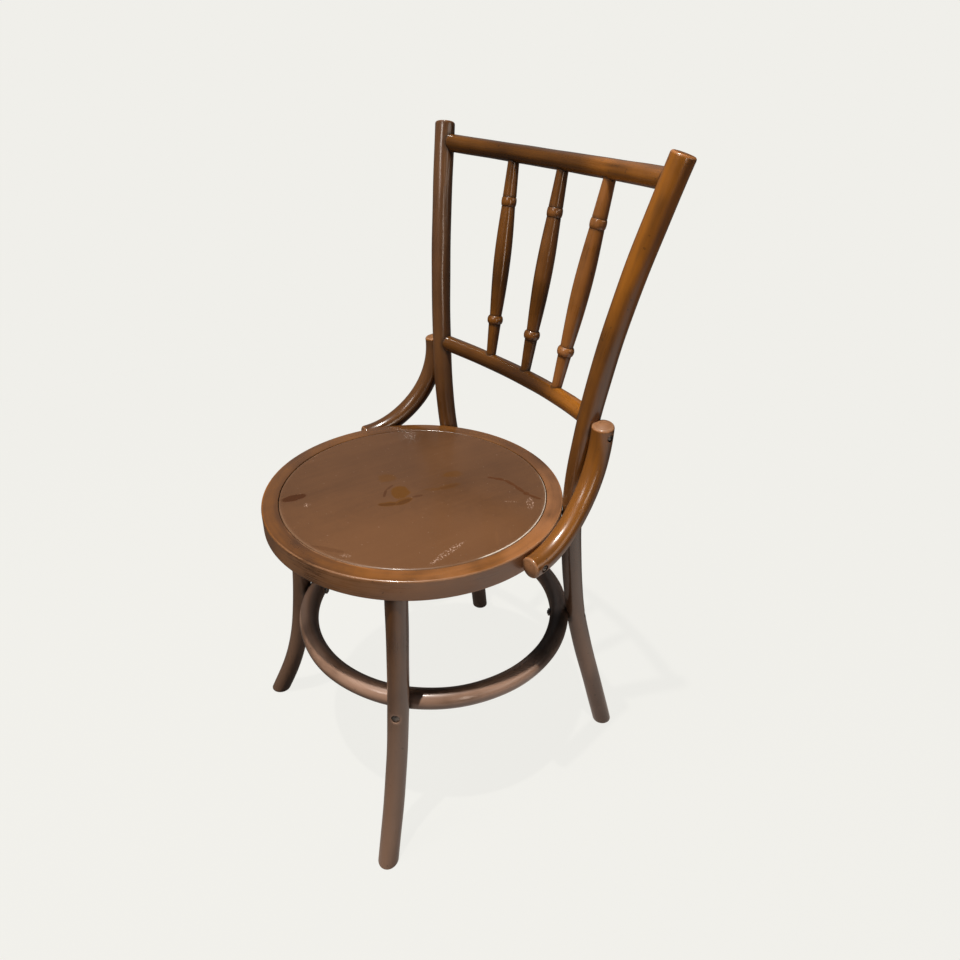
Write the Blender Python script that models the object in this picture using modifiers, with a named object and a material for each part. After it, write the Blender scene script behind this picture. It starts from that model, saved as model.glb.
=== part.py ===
"""Spindle back chair of bent round rods: each rod, rail, spindle and fastener is its own solid.

Metres, +Z up. The chair faces -Y, +X is the sitter's left, and the floor is z = 0. Places in plan
are measured from the centre of the round seat. The empty named chair sets that centre back, so
that the chair's box stands centred over the origin.
"""

import math

import bmesh
import bpy
import numpy as np
from mathutils import Matrix, Quaternion, Vector

for item in list(bpy.data.objects):
    bpy.data.objects.remove(item, do_unlink=True)

# Fits: clearance between touching pieces, and how far a housing is let into a rod
GAP = 0.0003
RING_HOUSING = 0.0006
HOOP_HOUSING = 0.0020
BRACE_HOLLOW = 0.0040

# Seat: bent ring with a plywood panel let into a rebate
SEAT_HEIGHT = 0.450
SEAT_SETBACK = -0.0292
RING_RADIUS = 0.2060
RING_RIM = 0.0220
RING_LEDGE = 0.0170
RING_HEIGHT = 0.030
RING_TOP_ROUND = 0.0025
RING_LOW_ROUND = 0.003
PANEL_THICKNESS = 0.006
PANEL_CHAMFER = 0.0012

# Rods: radius of each kind and the rounding of the cut ends
ROD_RADIUS = 0.01425
HOOP_ROD_RADIUS = 0.0142
TOP_RAIL_RADIUS = 0.0117
LOWER_RAIL_RADIUS = 0.0118
POST_END_ROUND = 0.0030
FOOT_ROUND = 0.0015
BRACE_END_ROUND = 0.0025

# Leg hoop: circle inside the four legs, smaller than the ring and further back
HOOP_INSET = 0.0125
HOOP_DROP = 0.221
HOOP_SETBACK = 0.031

# Front legs: where they stand under the ring and on the hoop, and their splay in plan from the ring
FRONT_RING_ANGLE = -37.7
FRONT_RING_INSET = 0.0174
FRONT_HOOP_ANGLE = -45.0
FRONT_ANKLE_SPLAY = (0.0232, -0.0322)
FRONT_FOOT_SPLAY = (0.0450, -0.0571)
ANKLE_HEIGHT = 0.080
LEG_TENON_RADIUS = 0.010
LEG_TENON_LENGTH = 0.018

# Back posts: one rod from floor to top, with the places of its bends in plan from the ring
REAR_RING_ANGLE = 46.1
REAR_HOOP_ANGLE = 49.7
REAR_FOOT_SPLAY = (0.0274, 0.0917)
REAR_ANKLE_SPLAY = (0.0140, 0.0733)
UNDER_SEAT_SPLAY = (-0.0091, 0.0198)
UNDER_SEAT_DROP = 0.120
LOWER_RAIL_SPLAY = (0.0164, -0.0032)
LOWER_RAIL_RISE = 0.1355
MID_BACK_SPLAY = (0.0412, 0.0135)
MID_BACK_RISE = 0.300
POST_TOP_SPLAY = (0.0688, 0.0388)
POST_RISE = 0.4394

# Rails: bowed back between the posts, in a plane tilted down from the level
TOP_RAIL_BELOW_END = 0.0255
TOP_RAIL_BOW = 0.042
TOP_RAIL_TILT = 8.0
LOWER_RAIL_BOW = 0.033
LOWER_RAIL_TILT = 18.0
RAIL_TENON_RADIUS = 0.0070
RAIL_TENON_PAST_AXIS = 0.004

# Spindles: spacing on the two rails, then radii from the lower rail to the top rail
SPINDLE_TOP_SPACING = 0.0933
SPINDLE_LOW_SPACING = 0.0741
SPINDLE_PAST_AXIS = 0.002
SPINDLE_FOOT_RADIUS = 0.0072
SPINDLE_LOW_NECK_RADIUS = 0.0089
SPINDLE_BODY_LOW_RADIUS = 0.0086
SPINDLE_SWELL = 0.0029
SPINDLE_BODY_TOP_RADIUS = 0.0095
SPINDLE_TOP_NECK_RADIUS = 0.0096
SPINDLE_HEAD_RADIUS = 0.0078
LOW_BEAD_RADIUS = 0.0114
LOW_BEAD_CORE_RADIUS = 0.0082
TOP_BEAD_RADIUS = 0.0106
TOP_BEAD_CORE_RADIUS = 0.0090
BEAD_HALF_HEIGHT = 0.0062
BEAD_FROM_RAIL = 0.050

# Hip braces: from the post's outer side down and forward along the ring
BRACE_RISE = 0.0035
BRACE_TOP_PULL = (-0.0069, 0.0111, -0.0835)
BRACE_FRONT_ANGLE = 7.8
BRACE_FRONT_RISE = -0.0155
BRACE_FRONT_PULL = (-0.0054, 0.0653, -0.0009)
BRACE_SCREW_FROM_END = 0.016

# Fasteners
BOLT_RADIUS = 0.0030
BOLT_HEAD_RADIUS = 0.0055
BOLT_HEAD_HEIGHT = 0.0022
BOLT_RECESS_DEPTH = 0.0034
BOLT_END_PAST_NUT = 0.0015
NUT_ACROSS_FLATS = 0.010
NUT_HEIGHT = 0.0045
RING_SPOT_FACE = 0.0006
HOOP_SPOT_FACE = 0.0018
SCREW_RADIUS = 0.0020
SCREW_HEAD_RADIUS = 0.0043
SCREW_HEAD_HEIGHT = 0.0024
SCREW_RECESS_DEPTH = 0.0030
SCREW_BITE = 0.014
HEAD_CROWN_ANGLE = 60

# Facets: sides round each kind of piece, points along it, and the angle above which edges stay sharp
ROD_SIDES = 16
RAIL_SIDES = 14
TURNED_STEPS = 60
SPINDLE_STEPS = 14
FASTENER_STEPS = 10
NUT_SIDES = 6
HOOP_POINTS = 40
LEG_POINTS = 13
POST_POINTS = 27
RAIL_POINTS = 11
BRACE_POINTS = 16
SPINDLE_BODY_POINTS = 8
BEAD_POINTS = 7
TOP_ROUND_POINTS = 5
LOW_ROUND_POINTS = 3
HEAD_POINTS = 3
END_ROUND_SEGMENTS = 2
END_ROUND_ANGLE = 50
SHARP_ANGLE = 40

PANEL_RADIUS = RING_RADIUS - RING_RIM
RING_INNER_RADIUS = PANEL_RADIUS - RING_LEDGE
HOOP_RADIUS = RING_RADIUS - HOOP_INSET
FLOOR_BLOCK = 4 * RING_RADIUS
RING_TOP = SEAT_HEIGHT
RING_BOTTOM = SEAT_HEIGHT - RING_HEIGHT
RING_MIDDLE = SEAT_HEIGHT - RING_HEIGHT / 2
HOOP_HEIGHT = SEAT_HEIGHT - HOOP_DROP
LOWER_RAIL_HEIGHT = SEAT_HEIGHT + LOWER_RAIL_RISE
POST_HEIGHT = SEAT_HEIGHT + POST_RISE
TOP_RAIL_HEIGHT = POST_HEIGHT - TOP_RAIL_BELOW_END
SIDES = {"left": 1, "right": -1}

parts = bpy.data.collections.new("spindle_back_chair")
cutters = bpy.data.collections.new("cutters")
for group in (parts, cutters):
    bpy.context.scene.collection.children.link(group)
chair = bpy.data.objects.new("chair", None)
chair.location = (0, SEAT_SETBACK, 0)
parts.objects.link(chair)


def material(name, colour, roughness, metallic=0.0):
    """A plain Principled finish."""
    finish = bpy.data.materials.new(name)
    finish.use_nodes = True
    shader = finish.node_tree.nodes["Principled BSDF"]
    shader.inputs["Base Color"].default_value = (*colour, 1)
    shader.inputs["Roughness"].default_value = roughness
    shader.inputs["Metallic"].default_value = metallic
    return finish


ROD_WOOD = material("varnished_beech_rod", (0.150, 0.070, 0.030), 0.34)
TURNED_WOOD = material("varnished_turned_beech", (0.165, 0.080, 0.032), 0.32)
PANEL_WOOD = material("varnished_plywood", (0.180, 0.090, 0.045), 0.38)
STEEL = material("dull_dark_steel", (0.110, 0.095, 0.080), 0.45, 0.9)


def add(name, mesh, finish):
    """Puts a mesh in the chair as a named sub-part."""
    mesh.shade_smooth()
    mesh.set_sharp_from_angle(angle=math.radians(SHARP_ANGLE))
    piece = bpy.data.objects.new(name, mesh)
    piece.data.materials.append(finish)
    piece.parent = chair
    parts.objects.link(piece)
    return piece


def add_cutter(name, mesh):
    """Puts a mesh among the cutters, which are never part of the chair."""
    cutter = bpy.data.objects.new(name, mesh)
    cutter.parent = chair
    cutter.hide_render = True
    cutter.display_type = "WIRE"
    cutters.objects.link(cutter)
    return cutter


def combine(piece, other, operation="DIFFERENCE"):
    """Cuts the other shape out of a piece, or joins it on."""
    step = piece.modifiers.new(f"{operation.lower()}_{other.name}", "BOOLEAN")
    step.operation = operation
    step.object = other


def round_ends(piece, width):
    """Rounds the cut ends of a rod."""
    step = piece.modifiers.new("rounded_ends", "BEVEL")
    step.width = width
    step.segments = END_ROUND_SEGMENTS
    step.limit_method = "ANGLE"
    step.angle_limit = math.radians(END_ROUND_ANGLE)


def rod_mesh(name, points, radius, sides=ROD_SIDES, closed=False):
    """A round rod along the points, with flat ends or closed to a hoop."""
    curve = bpy.data.curves.new(name, "CURVE")
    curve.dimensions = "3D"
    curve.bevel_depth = radius
    curve.bevel_resolution = (sides - 4) // 2
    curve.use_fill_caps = not closed
    spline = curve.splines.new("POLY")
    spline.points.add(len(points) - 1)
    for knot, place in zip(spline.points, points):
        knot.co = (*place, 1)
    spline.use_cyclic_u = closed
    guide = bpy.data.objects.new(name, curve)
    bpy.context.scene.collection.objects.link(guide)
    graph = bpy.context.evaluated_depsgraph_get()
    mesh = bpy.data.meshes.new_from_object(guide.evaluated_get(graph))
    bpy.data.objects.remove(guide, do_unlink=True)
    shape = bmesh.new()
    shape.from_mesh(mesh)
    bmesh.ops.remove_doubles(shape, verts=shape.verts, dist=GAP / 10)
    bmesh.ops.recalc_face_normals(shape, faces=shape.faces)
    shape.to_mesh(mesh)
    shape.free()
    return mesh


def cylinder_mesh(name, start, end, radius, sides=FASTENER_STEPS):
    """A straight cylinder between two points."""
    mesh = bpy.data.meshes.new(name)
    shape = bmesh.new()
    turn = (end - start).to_track_quat("Z", "X").to_matrix().to_4x4()
    bmesh.ops.create_cone(
        shape,
        cap_ends=True,
        segments=sides,
        radius1=radius,
        radius2=radius,
        depth=(end - start).length,
        matrix=Matrix.Translation((start + end) / 2) @ turn,
    )
    shape.to_mesh(mesh)
    shape.free()
    return mesh


def profile_mesh(name, profile, closed=False):
    """Edges along a profile of (radius, height) pairs, listed from the top down."""
    mesh = bpy.data.meshes.new(name)
    edges = [(i, i + 1) for i in range(len(profile) - 1)]
    if closed:
        edges.append((len(profile) - 1, 0))
    mesh.from_pydata([(radius, 0, height) for radius, height in profile], edges, [])
    return mesh


def turn(piece, steps, start=Vector(), along=Vector((0, 0, 1))):
    """Turns a piece's profile about an axis."""
    piece.location = start
    piece.rotation_mode = "QUATERNION"
    half_facet = Quaternion((0, 0, 1), math.pi / steps)
    piece.rotation_quaternion = along.to_track_quat("Z", "X") @ half_facet
    screw = piece.modifiers.new("turning", "SCREW")
    screw.steps = steps
    screw.render_steps = steps
    screw.use_merge_vertices = True
    screw.merge_threshold = GAP / 10
    return piece


def arc(centre, half_width, half_height, start, end, count):
    """Points of a round or elliptic arc in a profile, angles in degrees."""
    angles = np.radians(np.linspace(start, end, count))
    return [(centre[0] + half_width * math.cos(a), centre[1] + half_height * math.sin(a)) for a in angles]


def around(radius, degrees, height, setback=0.0):
    """A point on a circle in plan."""
    angle = math.radians(degrees)
    return Vector((radius * math.cos(angle), setback + radius * math.sin(angle), height))


def natural_spline(stations):
    """A rod's axis: the natural cubic spline over height through the stations, as a function."""
    knots = np.array(stations)
    heights = knots[:, 2]
    steps = np.diff(heights)
    slopes = np.diff(knots, axis=0) / steps[:, None]
    system = np.eye(len(knots))
    change = np.zeros_like(knots)
    for i in range(1, len(knots) - 1):
        system[i, i - 1 : i + 2] = steps[i - 1], 2 * (steps[i - 1] + steps[i]), steps[i]
        change[i] = 6 * (slopes[i] - slopes[i - 1])
    bends = np.linalg.solve(system, change)

    def axis(height):
        i = int(np.clip(np.searchsorted(heights, height) - 1, 0, len(steps) - 1))
        low = (heights[i + 1] - height) / steps[i]
        high = 1 - low
        bend = (low**3 - low) * bends[i] + (high**3 - high) * bends[i + 1]
        return Vector(low * knots[i] + high * knots[i + 1] + bend * steps[i] ** 2 / 6)

    return axis


def mirrored(point, side):
    """The point on the sitter's left, or its mirror image."""
    return Vector((side * point[0], point[1], point[2]))


def below_floor():
    """A block that takes away everything under the floor."""
    mesh = bpy.data.meshes.new("floor_cut")
    shape = bmesh.new()
    bmesh.ops.create_cube(shape, size=FLOOR_BLOCK, matrix=Matrix.Translation((0, 0, -FLOOR_BLOCK / 2)))
    shape.to_mesh(mesh)
    shape.free()
    return add_cutter("floor_cut", mesh)


def splayed(root, splay, height):
    """A rod's place at a height, moved in plan from where the rod meets the ring."""
    return Vector((root.x + splay[0], root.y + splay[1], height))


LEG_AT_HOOP = HOOP_RADIUS + HOOP_ROD_RADIUS + ROD_RADIUS - HOOP_HOUSING
LEG_ROOT = around(RING_RADIUS - FRONT_RING_INSET, FRONT_RING_ANGLE, RING_BOTTOM)
POST_ROOT = around(RING_RADIUS + ROD_RADIUS - RING_HOUSING, REAR_RING_ANGLE, RING_MIDDLE)
FRONT_STATIONS = [
    splayed(LEG_ROOT, FRONT_FOOT_SPLAY, 0),
    splayed(LEG_ROOT, FRONT_ANKLE_SPLAY, ANKLE_HEIGHT),
    around(LEG_AT_HOOP, FRONT_HOOP_ANGLE, HOOP_HEIGHT, HOOP_SETBACK),
    LEG_ROOT,
]
REAR_STATIONS = [
    splayed(POST_ROOT, REAR_FOOT_SPLAY, 0),
    splayed(POST_ROOT, REAR_ANKLE_SPLAY, ANKLE_HEIGHT),
    around(LEG_AT_HOOP, REAR_HOOP_ANGLE, HOOP_HEIGHT, HOOP_SETBACK),
    splayed(POST_ROOT, UNDER_SEAT_SPLAY, SEAT_HEIGHT - UNDER_SEAT_DROP),
    POST_ROOT,
    splayed(POST_ROOT, LOWER_RAIL_SPLAY, LOWER_RAIL_HEIGHT),
    splayed(POST_ROOT, MID_BACK_SPLAY, SEAT_HEIGHT + MID_BACK_RISE),
    splayed(POST_ROOT, POST_TOP_SPLAY, POST_HEIGHT),
]
leg_axis = {}
post_axis = {}
for name, side in SIDES.items():
    leg_axis[name] = natural_spline([mirrored(place, side) for place in FRONT_STATIONS])
    post_axis[name] = natural_spline([mirrored(place, side) for place in REAR_STATIONS])

floor = below_floor()
ring_clearance = add_cutter(
    "ring_clearance",
    cylinder_mesh(
        "ring_clearance",
        Vector((0, 0, RING_BOTTOM - GAP)),
        Vector((0, 0, RING_TOP + GAP)),
        RING_RADIUS + GAP,
        2 * TURNED_STEPS,
    ),
)
hoop_circle = [
    around(HOOP_RADIUS, 360 * i / HOOP_POINTS, HOOP_HEIGHT, HOOP_SETBACK) for i in range(HOOP_POINTS)
]
hoop_clearance = add_cutter(
    "hoop_clearance", rod_mesh("hoop_clearance", hoop_circle, HOOP_ROD_RADIUS + GAP, closed=True)
)


def seat_ring():
    """Bent ring with rounded edges and a rebate for the panel."""
    inner = RING_INNER_RADIUS
    top_centre = (RING_RADIUS - RING_TOP_ROUND, RING_TOP - RING_TOP_ROUND)
    low_centre = (RING_RADIUS - RING_LOW_ROUND, RING_BOTTOM + RING_LOW_ROUND)
    rebate = RING_TOP - PANEL_THICKNESS - GAP
    profile = [(PANEL_RADIUS + PANEL_CHAMFER, RING_TOP)]
    profile += arc(top_centre, RING_TOP_ROUND, RING_TOP_ROUND, 90, 0, TOP_ROUND_POINTS)
    profile += arc(low_centre, RING_LOW_ROUND, RING_LOW_ROUND, 0, -90, LOW_ROUND_POINTS)
    profile += [(inner, RING_BOTTOM), (inner, rebate), (PANEL_RADIUS, rebate)]
    profile += [(PANEL_RADIUS, RING_TOP - PANEL_CHAMFER)]
    return turn(add("seat_ring", profile_mesh("ring", profile, closed=True), ROD_WOOD), TURNED_STEPS)


def seat_panel():
    """Plywood disc, chamfered where it meets the ring."""
    edge = PANEL_RADIUS - GAP
    profile = [
        (0, RING_TOP),
        (edge - PANEL_CHAMFER, RING_TOP),
        (edge, RING_TOP - PANEL_CHAMFER),
        (edge, RING_TOP - PANEL_THICKNESS),
        (0, RING_TOP - PANEL_THICKNESS),
    ]
    return turn(add("seat_panel", profile_mesh("panel", profile), PANEL_WOOD), TURNED_STEPS)


def front_leg(name, ring):
    """Sabre leg with a tenon that goes up into the ring."""
    axis = leg_axis[name]
    heights = np.linspace(-ROD_RADIUS, RING_MIDDLE, LEG_POINTS)
    leg = add(f"front_leg_{name}", rod_mesh("leg", [axis(h) for h in heights], ROD_RADIUS), ROD_WOOD)
    combine(leg, floor)
    combine(leg, ring_clearance)
    round_ends(leg, FOOT_ROUND)
    head = axis(RING_BOTTOM)
    up = (head - axis(RING_BOTTOM - ROD_RADIUS)).normalized()
    root = head - up * LEG_TENON_RADIUS
    tip = head + up * LEG_TENON_LENGTH
    tenon = cylinder_mesh(f"leg_tenon_{name}", root, tip, LEG_TENON_RADIUS, ROD_SIDES)
    combine(leg, add_cutter(f"leg_tenon_{name}", tenon), "UNION")
    combine(leg, hoop_clearance)
    socket = cylinder_mesh(f"leg_socket_{name}", root, tip + up * GAP, LEG_TENON_RADIUS + GAP, ROD_SIDES)
    combine(ring, add_cutter(f"leg_socket_{name}", socket))
    return leg


def back_post(name):
    """Rear leg and back post in one bent rod, housed on the ring and the hoop."""
    axis = post_axis[name]
    heights = np.linspace(-ROD_RADIUS, POST_HEIGHT, POST_POINTS)
    post = add(f"back_post_{name}", rod_mesh("post", [axis(h) for h in heights], ROD_RADIUS), ROD_WOOD)
    combine(post, floor)
    round_ends(post, POST_END_ROUND)
    combine(post, ring_clearance)
    combine(post, hoop_clearance)
    clearance = rod_mesh("post", [axis(h) for h in heights], ROD_RADIUS + GAP)
    return post, add_cutter(f"post_clearance_{name}", clearance)


def rail_axis(height, bow, tilt):
    """Axis of a rail: an arc from post to post, bowed back in a tilted plane, as a function of x."""
    end = post_axis["left"](height)
    back = Vector((0, math.cos(math.radians(tilt)), -math.sin(math.radians(tilt))))
    radius = (end.x**2 + bow**2) / (2 * bow)

    def axis(x):
        depth = math.sqrt(radius**2 - x**2) - radius + bow
        return Vector((x, end.y, end.z)) + back * depth

    return axis, end.x


top_axis, top_half = rail_axis(TOP_RAIL_HEIGHT, TOP_RAIL_BOW, TOP_RAIL_TILT)
lower_axis, lower_half = rail_axis(LOWER_RAIL_HEIGHT, LOWER_RAIL_BOW, LOWER_RAIL_TILT)


def rail(name, axis, half, radius, posts):
    """Bowed rail scribed to the posts, with a round tenon in each."""
    points = [axis(x) for x in np.linspace(-half, half, RAIL_POINTS)]
    piece = add(name, rod_mesh(name, points, radius, RAIL_SIDES), TURNED_WOOD)
    for side_name, side in SIDES.items():
        post, clearance = posts[side_name]
        combine(piece, clearance)
        end = axis(side * half)
        out = (end - axis(side * (half - radius))).normalized()
        root = end - out * (ROD_RADIUS + radius)
        tip = end + out * RAIL_TENON_PAST_AXIS
        label = f"{name}_{side_name}"
        tenon = cylinder_mesh(f"tenon_{label}", root, tip, RAIL_TENON_RADIUS, RAIL_SIDES)
        combine(piece, add_cutter(f"tenon_{label}", tenon), "UNION")
        socket = cylinder_mesh(f"socket_{label}", root, tip + out * GAP, RAIL_TENON_RADIUS + GAP, RAIL_SIDES)
        combine(post, add_cutter(f"socket_{label}", socket))
    return piece


def bead(height, radius, core):
    """Half round bead of a spindle, from its top down, with a quirk on either side."""
    return arc((core, height), radius - core, BEAD_HALF_HEIGHT, 90, -90, BEAD_POINTS)


def spindle(name, place, rails):
    """Turned spindle with two beads, let into both rails."""
    top_rail, lower_rail = rails
    foot = lower_axis(place * SPINDLE_LOW_SPACING)
    head = top_axis(place * SPINDLE_TOP_SPACING)
    length = (head - foot).length
    along = (head - foot).normalized()
    low_bead = LOWER_RAIL_RADIUS + BEAD_FROM_RAIL
    top_bead = length - TOP_RAIL_RADIUS - BEAD_FROM_RAIL
    body_low = low_bead + BEAD_HALF_HEIGHT
    body_top = top_bead - BEAD_HALF_HEIGHT
    profile = [(0, length + SPINDLE_PAST_AXIS), (SPINDLE_HEAD_RADIUS, length + SPINDLE_PAST_AXIS)]
    profile += [(SPINDLE_HEAD_RADIUS, length - TOP_RAIL_RADIUS)]
    profile += [(SPINDLE_TOP_NECK_RADIUS, top_bead + BEAD_HALF_HEIGHT)]
    profile += bead(top_bead, TOP_BEAD_RADIUS, TOP_BEAD_CORE_RADIUS)
    for t in np.linspace(1, 0, SPINDLE_BODY_POINTS):
        radius = SPINDLE_BODY_LOW_RADIUS + t * (SPINDLE_BODY_TOP_RADIUS - SPINDLE_BODY_LOW_RADIUS)
        radius += SPINDLE_SWELL * math.sin(math.pi * t)
        profile.append((radius, body_low + t * (body_top - body_low)))
    profile += bead(low_bead, LOW_BEAD_RADIUS, LOW_BEAD_CORE_RADIUS)
    profile += [(SPINDLE_LOW_NECK_RADIUS, low_bead - BEAD_HALF_HEIGHT)]
    profile += [(SPINDLE_FOOT_RADIUS, LOWER_RAIL_RADIUS)]
    profile += [(SPINDLE_FOOT_RADIUS, -SPINDLE_PAST_AXIS), (0, -SPINDLE_PAST_AXIS)]
    turn(add(name, profile_mesh(name, profile), TURNED_WOOD), SPINDLE_STEPS, foot, along)
    reach = SPINDLE_PAST_AXIS + GAP
    for rail_piece, radius, end, inward in (
        (lower_rail, SPINDLE_FOOT_RADIUS, foot, along),
        (top_rail, SPINDLE_HEAD_RADIUS, head, -along),
    ):
        mouth = end + inward * 2 * TOP_RAIL_RADIUS
        label = f"{name}_in_{rail_piece.name}"
        hole = cylinder_mesh(label, end - inward * reach, mouth, radius + GAP, SPINDLE_STEPS)
        combine(rail_piece, add_cutter(label, hole))


def brace_axis(side):
    """Axis of a hip brace: a Bezier curve from the post's outer side to the ring's side."""
    post = post_axis["left"](LOWER_RAIL_HEIGHT + BRACE_RISE)
    top = post + Vector((2 * ROD_RADIUS - BRACE_HOLLOW, 0, 0))
    front = around(
        RING_RADIUS + ROD_RADIUS - BRACE_HOLLOW / 2, BRACE_FRONT_ANGLE, SEAT_HEIGHT + BRACE_FRONT_RISE
    )
    knots = [top, top + Vector(BRACE_TOP_PULL), front + Vector(BRACE_FRONT_PULL), front]

    def axis(t):
        s = 1 - t
        weights = (s**3, 3 * t * s**2, 3 * t**2 * s, t**3)
        point = sum((knot * weight for weight, knot in zip(weights, knots)), Vector())
        return mirrored(point, side)

    return axis


def hip_brace(name, side, post, clearance, ring):
    """Bent brace hollowed to the post and to the ring, with a screw at each end."""
    axis = brace_axis(side)
    points = [axis(t) for t in np.linspace(0, 1, BRACE_POINTS)]
    brace = add(f"hip_brace_{name}", rod_mesh("brace", points, ROD_RADIUS), ROD_WOOD)
    round_ends(brace, BRACE_END_ROUND)
    combine(brace, clearance)
    combine(brace, ring_clearance)
    length = sum((b - a).length for a, b in zip(points, points[1:]))
    share = BRACE_SCREW_FROM_END / length
    upper = axis(share)
    lower = axis(1 - share)
    to_post = post_axis[name](upper.z) - upper
    to_ring = Vector((-lower.x, -lower.y, 0))
    screw(f"brace_screw_upper_{name}", upper, to_post.normalized(), brace, post)
    screw(f"brace_screw_lower_{name}", lower, to_ring.normalized(), brace, ring)


def domed_head(radius, height):
    """Profile of a fastener's domed head, from its crown down to its seat."""
    return [(0, height)] + arc((0, 0), radius, height, HEAD_CROWN_ANGLE, 0, HEAD_POINTS)


def screw(name, centre, inward, brace, other):
    """Round headed screw, sunk in the brace and driven into the piece behind it."""
    seat = centre - inward * (ROD_RADIUS - SCREW_RECESS_DEPTH)
    length = 2 * ROD_RADIUS - SCREW_RECESS_DEPTH + SCREW_BITE
    profile = domed_head(SCREW_HEAD_RADIUS, SCREW_HEAD_HEIGHT)
    profile += [(SCREW_RADIUS, 0), (SCREW_RADIUS, SCREW_RADIUS - length), (0, -length)]
    turn(add(name, profile_mesh(name, profile), STEEL), FASTENER_STEPS, seat - inward * GAP, -inward)
    recess = SCREW_HEAD_RADIUS + GAP
    bore = SCREW_RADIUS + GAP
    end = -length - GAP
    profile = [(0, ROD_RADIUS), (recess, ROD_RADIUS), (recess, 0), (bore, 0), (bore, end), (0, end)]
    hole = add_cutter(f"{name}_hole", profile_mesh(f"{name}_hole", profile))
    turn(hole, FASTENER_STEPS, seat, -inward)
    combine(brace, hole)
    combine(other, hole)


def bolt(name, centre, inward, depth, outer_piece, inner_piece):
    """Bolt with its head sunk in a rod, through the piece inside it, and its nut on the far face.

    centre is on the rod's axis, and depth is the distance from there to the nut's face.
    """
    seat = centre - inward * (ROD_RADIUS - BOLT_RECESS_DEPTH)
    grip = depth + ROD_RADIUS - BOLT_RECESS_DEPTH
    length = grip + NUT_HEIGHT + BOLT_END_PAST_NUT
    profile = domed_head(BOLT_HEAD_RADIUS, BOLT_HEAD_HEIGHT)
    profile += [(BOLT_RADIUS, 0), (BOLT_RADIUS, -length), (0, -length)]
    shank = add(f"{name}_bolt", profile_mesh("bolt", profile), STEEL)
    turn(shank, FASTENER_STEPS, seat - inward * GAP, -inward)
    recess = BOLT_HEAD_RADIUS + GAP
    bore = BOLT_RADIUS + GAP
    nut_radius = NUT_ACROSS_FLATS / math.sqrt(3)
    face = nut_radius + GAP
    end = -grip - ROD_RADIUS
    profile = [(0, ROD_RADIUS), (recess, ROD_RADIUS), (recess, 0), (bore, 0)]
    profile += [(bore, -grip), (face, -grip), (face, end), (0, end)]
    hole = add_cutter(f"{name}_hole", profile_mesh(f"{name}_hole", profile))
    turn(hole, FASTENER_STEPS, seat, -inward)
    combine(outer_piece, hole)
    combine(inner_piece, hole)
    start = seat + inward * (grip + GAP)
    stop = start + inward * NUT_HEIGHT
    nut = add(f"{name}_nut", cylinder_mesh("nut", start, stop, nut_radius, NUT_SIDES), STEEL)
    nut_bore = cylinder_mesh("nut_bore", start - inward * GAP, stop + inward * GAP, bore)
    combine(nut, add_cutter(f"{name}_nut_bore", nut_bore))


def hoop_bolt(label, axis, piece, hoop):
    """Bolt through a leg and the hoop, square to the hoop."""
    centre = axis(HOOP_HEIGHT)
    inward = Vector((0, HOOP_SETBACK, HOOP_HEIGHT)) - centre
    depth = inward.length - HOOP_RADIUS + HOOP_ROD_RADIUS - HOOP_SPOT_FACE
    bolt(f"hoop_{label}", centre, inward.normalized(), depth, piece, hoop)


ring = seat_ring()
seat_panel()
hoop = add("leg_hoop", rod_mesh("leg_hoop", hoop_circle, HOOP_ROD_RADIUS, closed=True), ROD_WOOD)
posts = {name: back_post(name) for name in SIDES}
legs = {name: front_leg(name, ring) for name in SIDES}
top_rail = rail("top_rail", top_axis, top_half, TOP_RAIL_RADIUS, posts)
lower_rail = rail("lower_rail", lower_axis, lower_half, LOWER_RAIL_RADIUS, posts)
for name, place in (("left", 1), ("middle", 0), ("right", -1)):
    spindle(f"spindle_{name}", place, (top_rail, lower_rail))
for name, side in SIDES.items():
    post, clearance = posts[name]
    hip_brace(name, side, post, clearance, ring)
    hoop_bolt(f"front_{name}", leg_axis[name], legs[name], hoop)
    hoop_bolt(f"rear_{name}", post_axis[name], post, hoop)
    seat_centre = post_axis[name](RING_MIDDLE)
    to_axis = Vector((-seat_centre.x, -seat_centre.y, 0))
    through = to_axis.length - RING_INNER_RADIUS - RING_SPOT_FACE
    bolt(f"seat_{name}", seat_centre, to_axis.normalized(), through, post, ring)
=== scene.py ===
"""Looks of the spindle back chair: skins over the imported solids, finishes, floor, light and camera.

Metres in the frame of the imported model: +Z up, the chair faces -Y and +X is the sitter's left.
Each skin is a surface worked out on a grid of numpy arrays: rows run along the piece and columns
run round it. Places are measured from the centre of the round seat in plan, and the whole chair is
set back from there when a piece is made.
"""

import logging
import math
from collections.abc import Callable
from dataclasses import dataclass
from enum import Enum

import bpy
import numpy as np
from mathutils import Matrix, Vector


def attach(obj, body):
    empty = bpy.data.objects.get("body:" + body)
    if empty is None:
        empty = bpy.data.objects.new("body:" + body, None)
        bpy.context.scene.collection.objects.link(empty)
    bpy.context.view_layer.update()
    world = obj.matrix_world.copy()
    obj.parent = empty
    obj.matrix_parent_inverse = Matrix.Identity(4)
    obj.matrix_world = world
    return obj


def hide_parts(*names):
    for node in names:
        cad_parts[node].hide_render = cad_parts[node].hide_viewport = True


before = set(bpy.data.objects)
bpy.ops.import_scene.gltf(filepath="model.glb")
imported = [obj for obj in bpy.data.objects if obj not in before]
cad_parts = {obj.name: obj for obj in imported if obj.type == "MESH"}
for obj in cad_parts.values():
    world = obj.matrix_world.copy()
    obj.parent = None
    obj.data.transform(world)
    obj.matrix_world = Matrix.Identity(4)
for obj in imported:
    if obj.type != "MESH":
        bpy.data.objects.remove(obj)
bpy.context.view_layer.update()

LOG = logging.getLogger("spindle_back_chair")
UP = np.array([0.0, 0.0, 1.0])
LEVEL = np.array([1.0, 1.0, 0.0])
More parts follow.
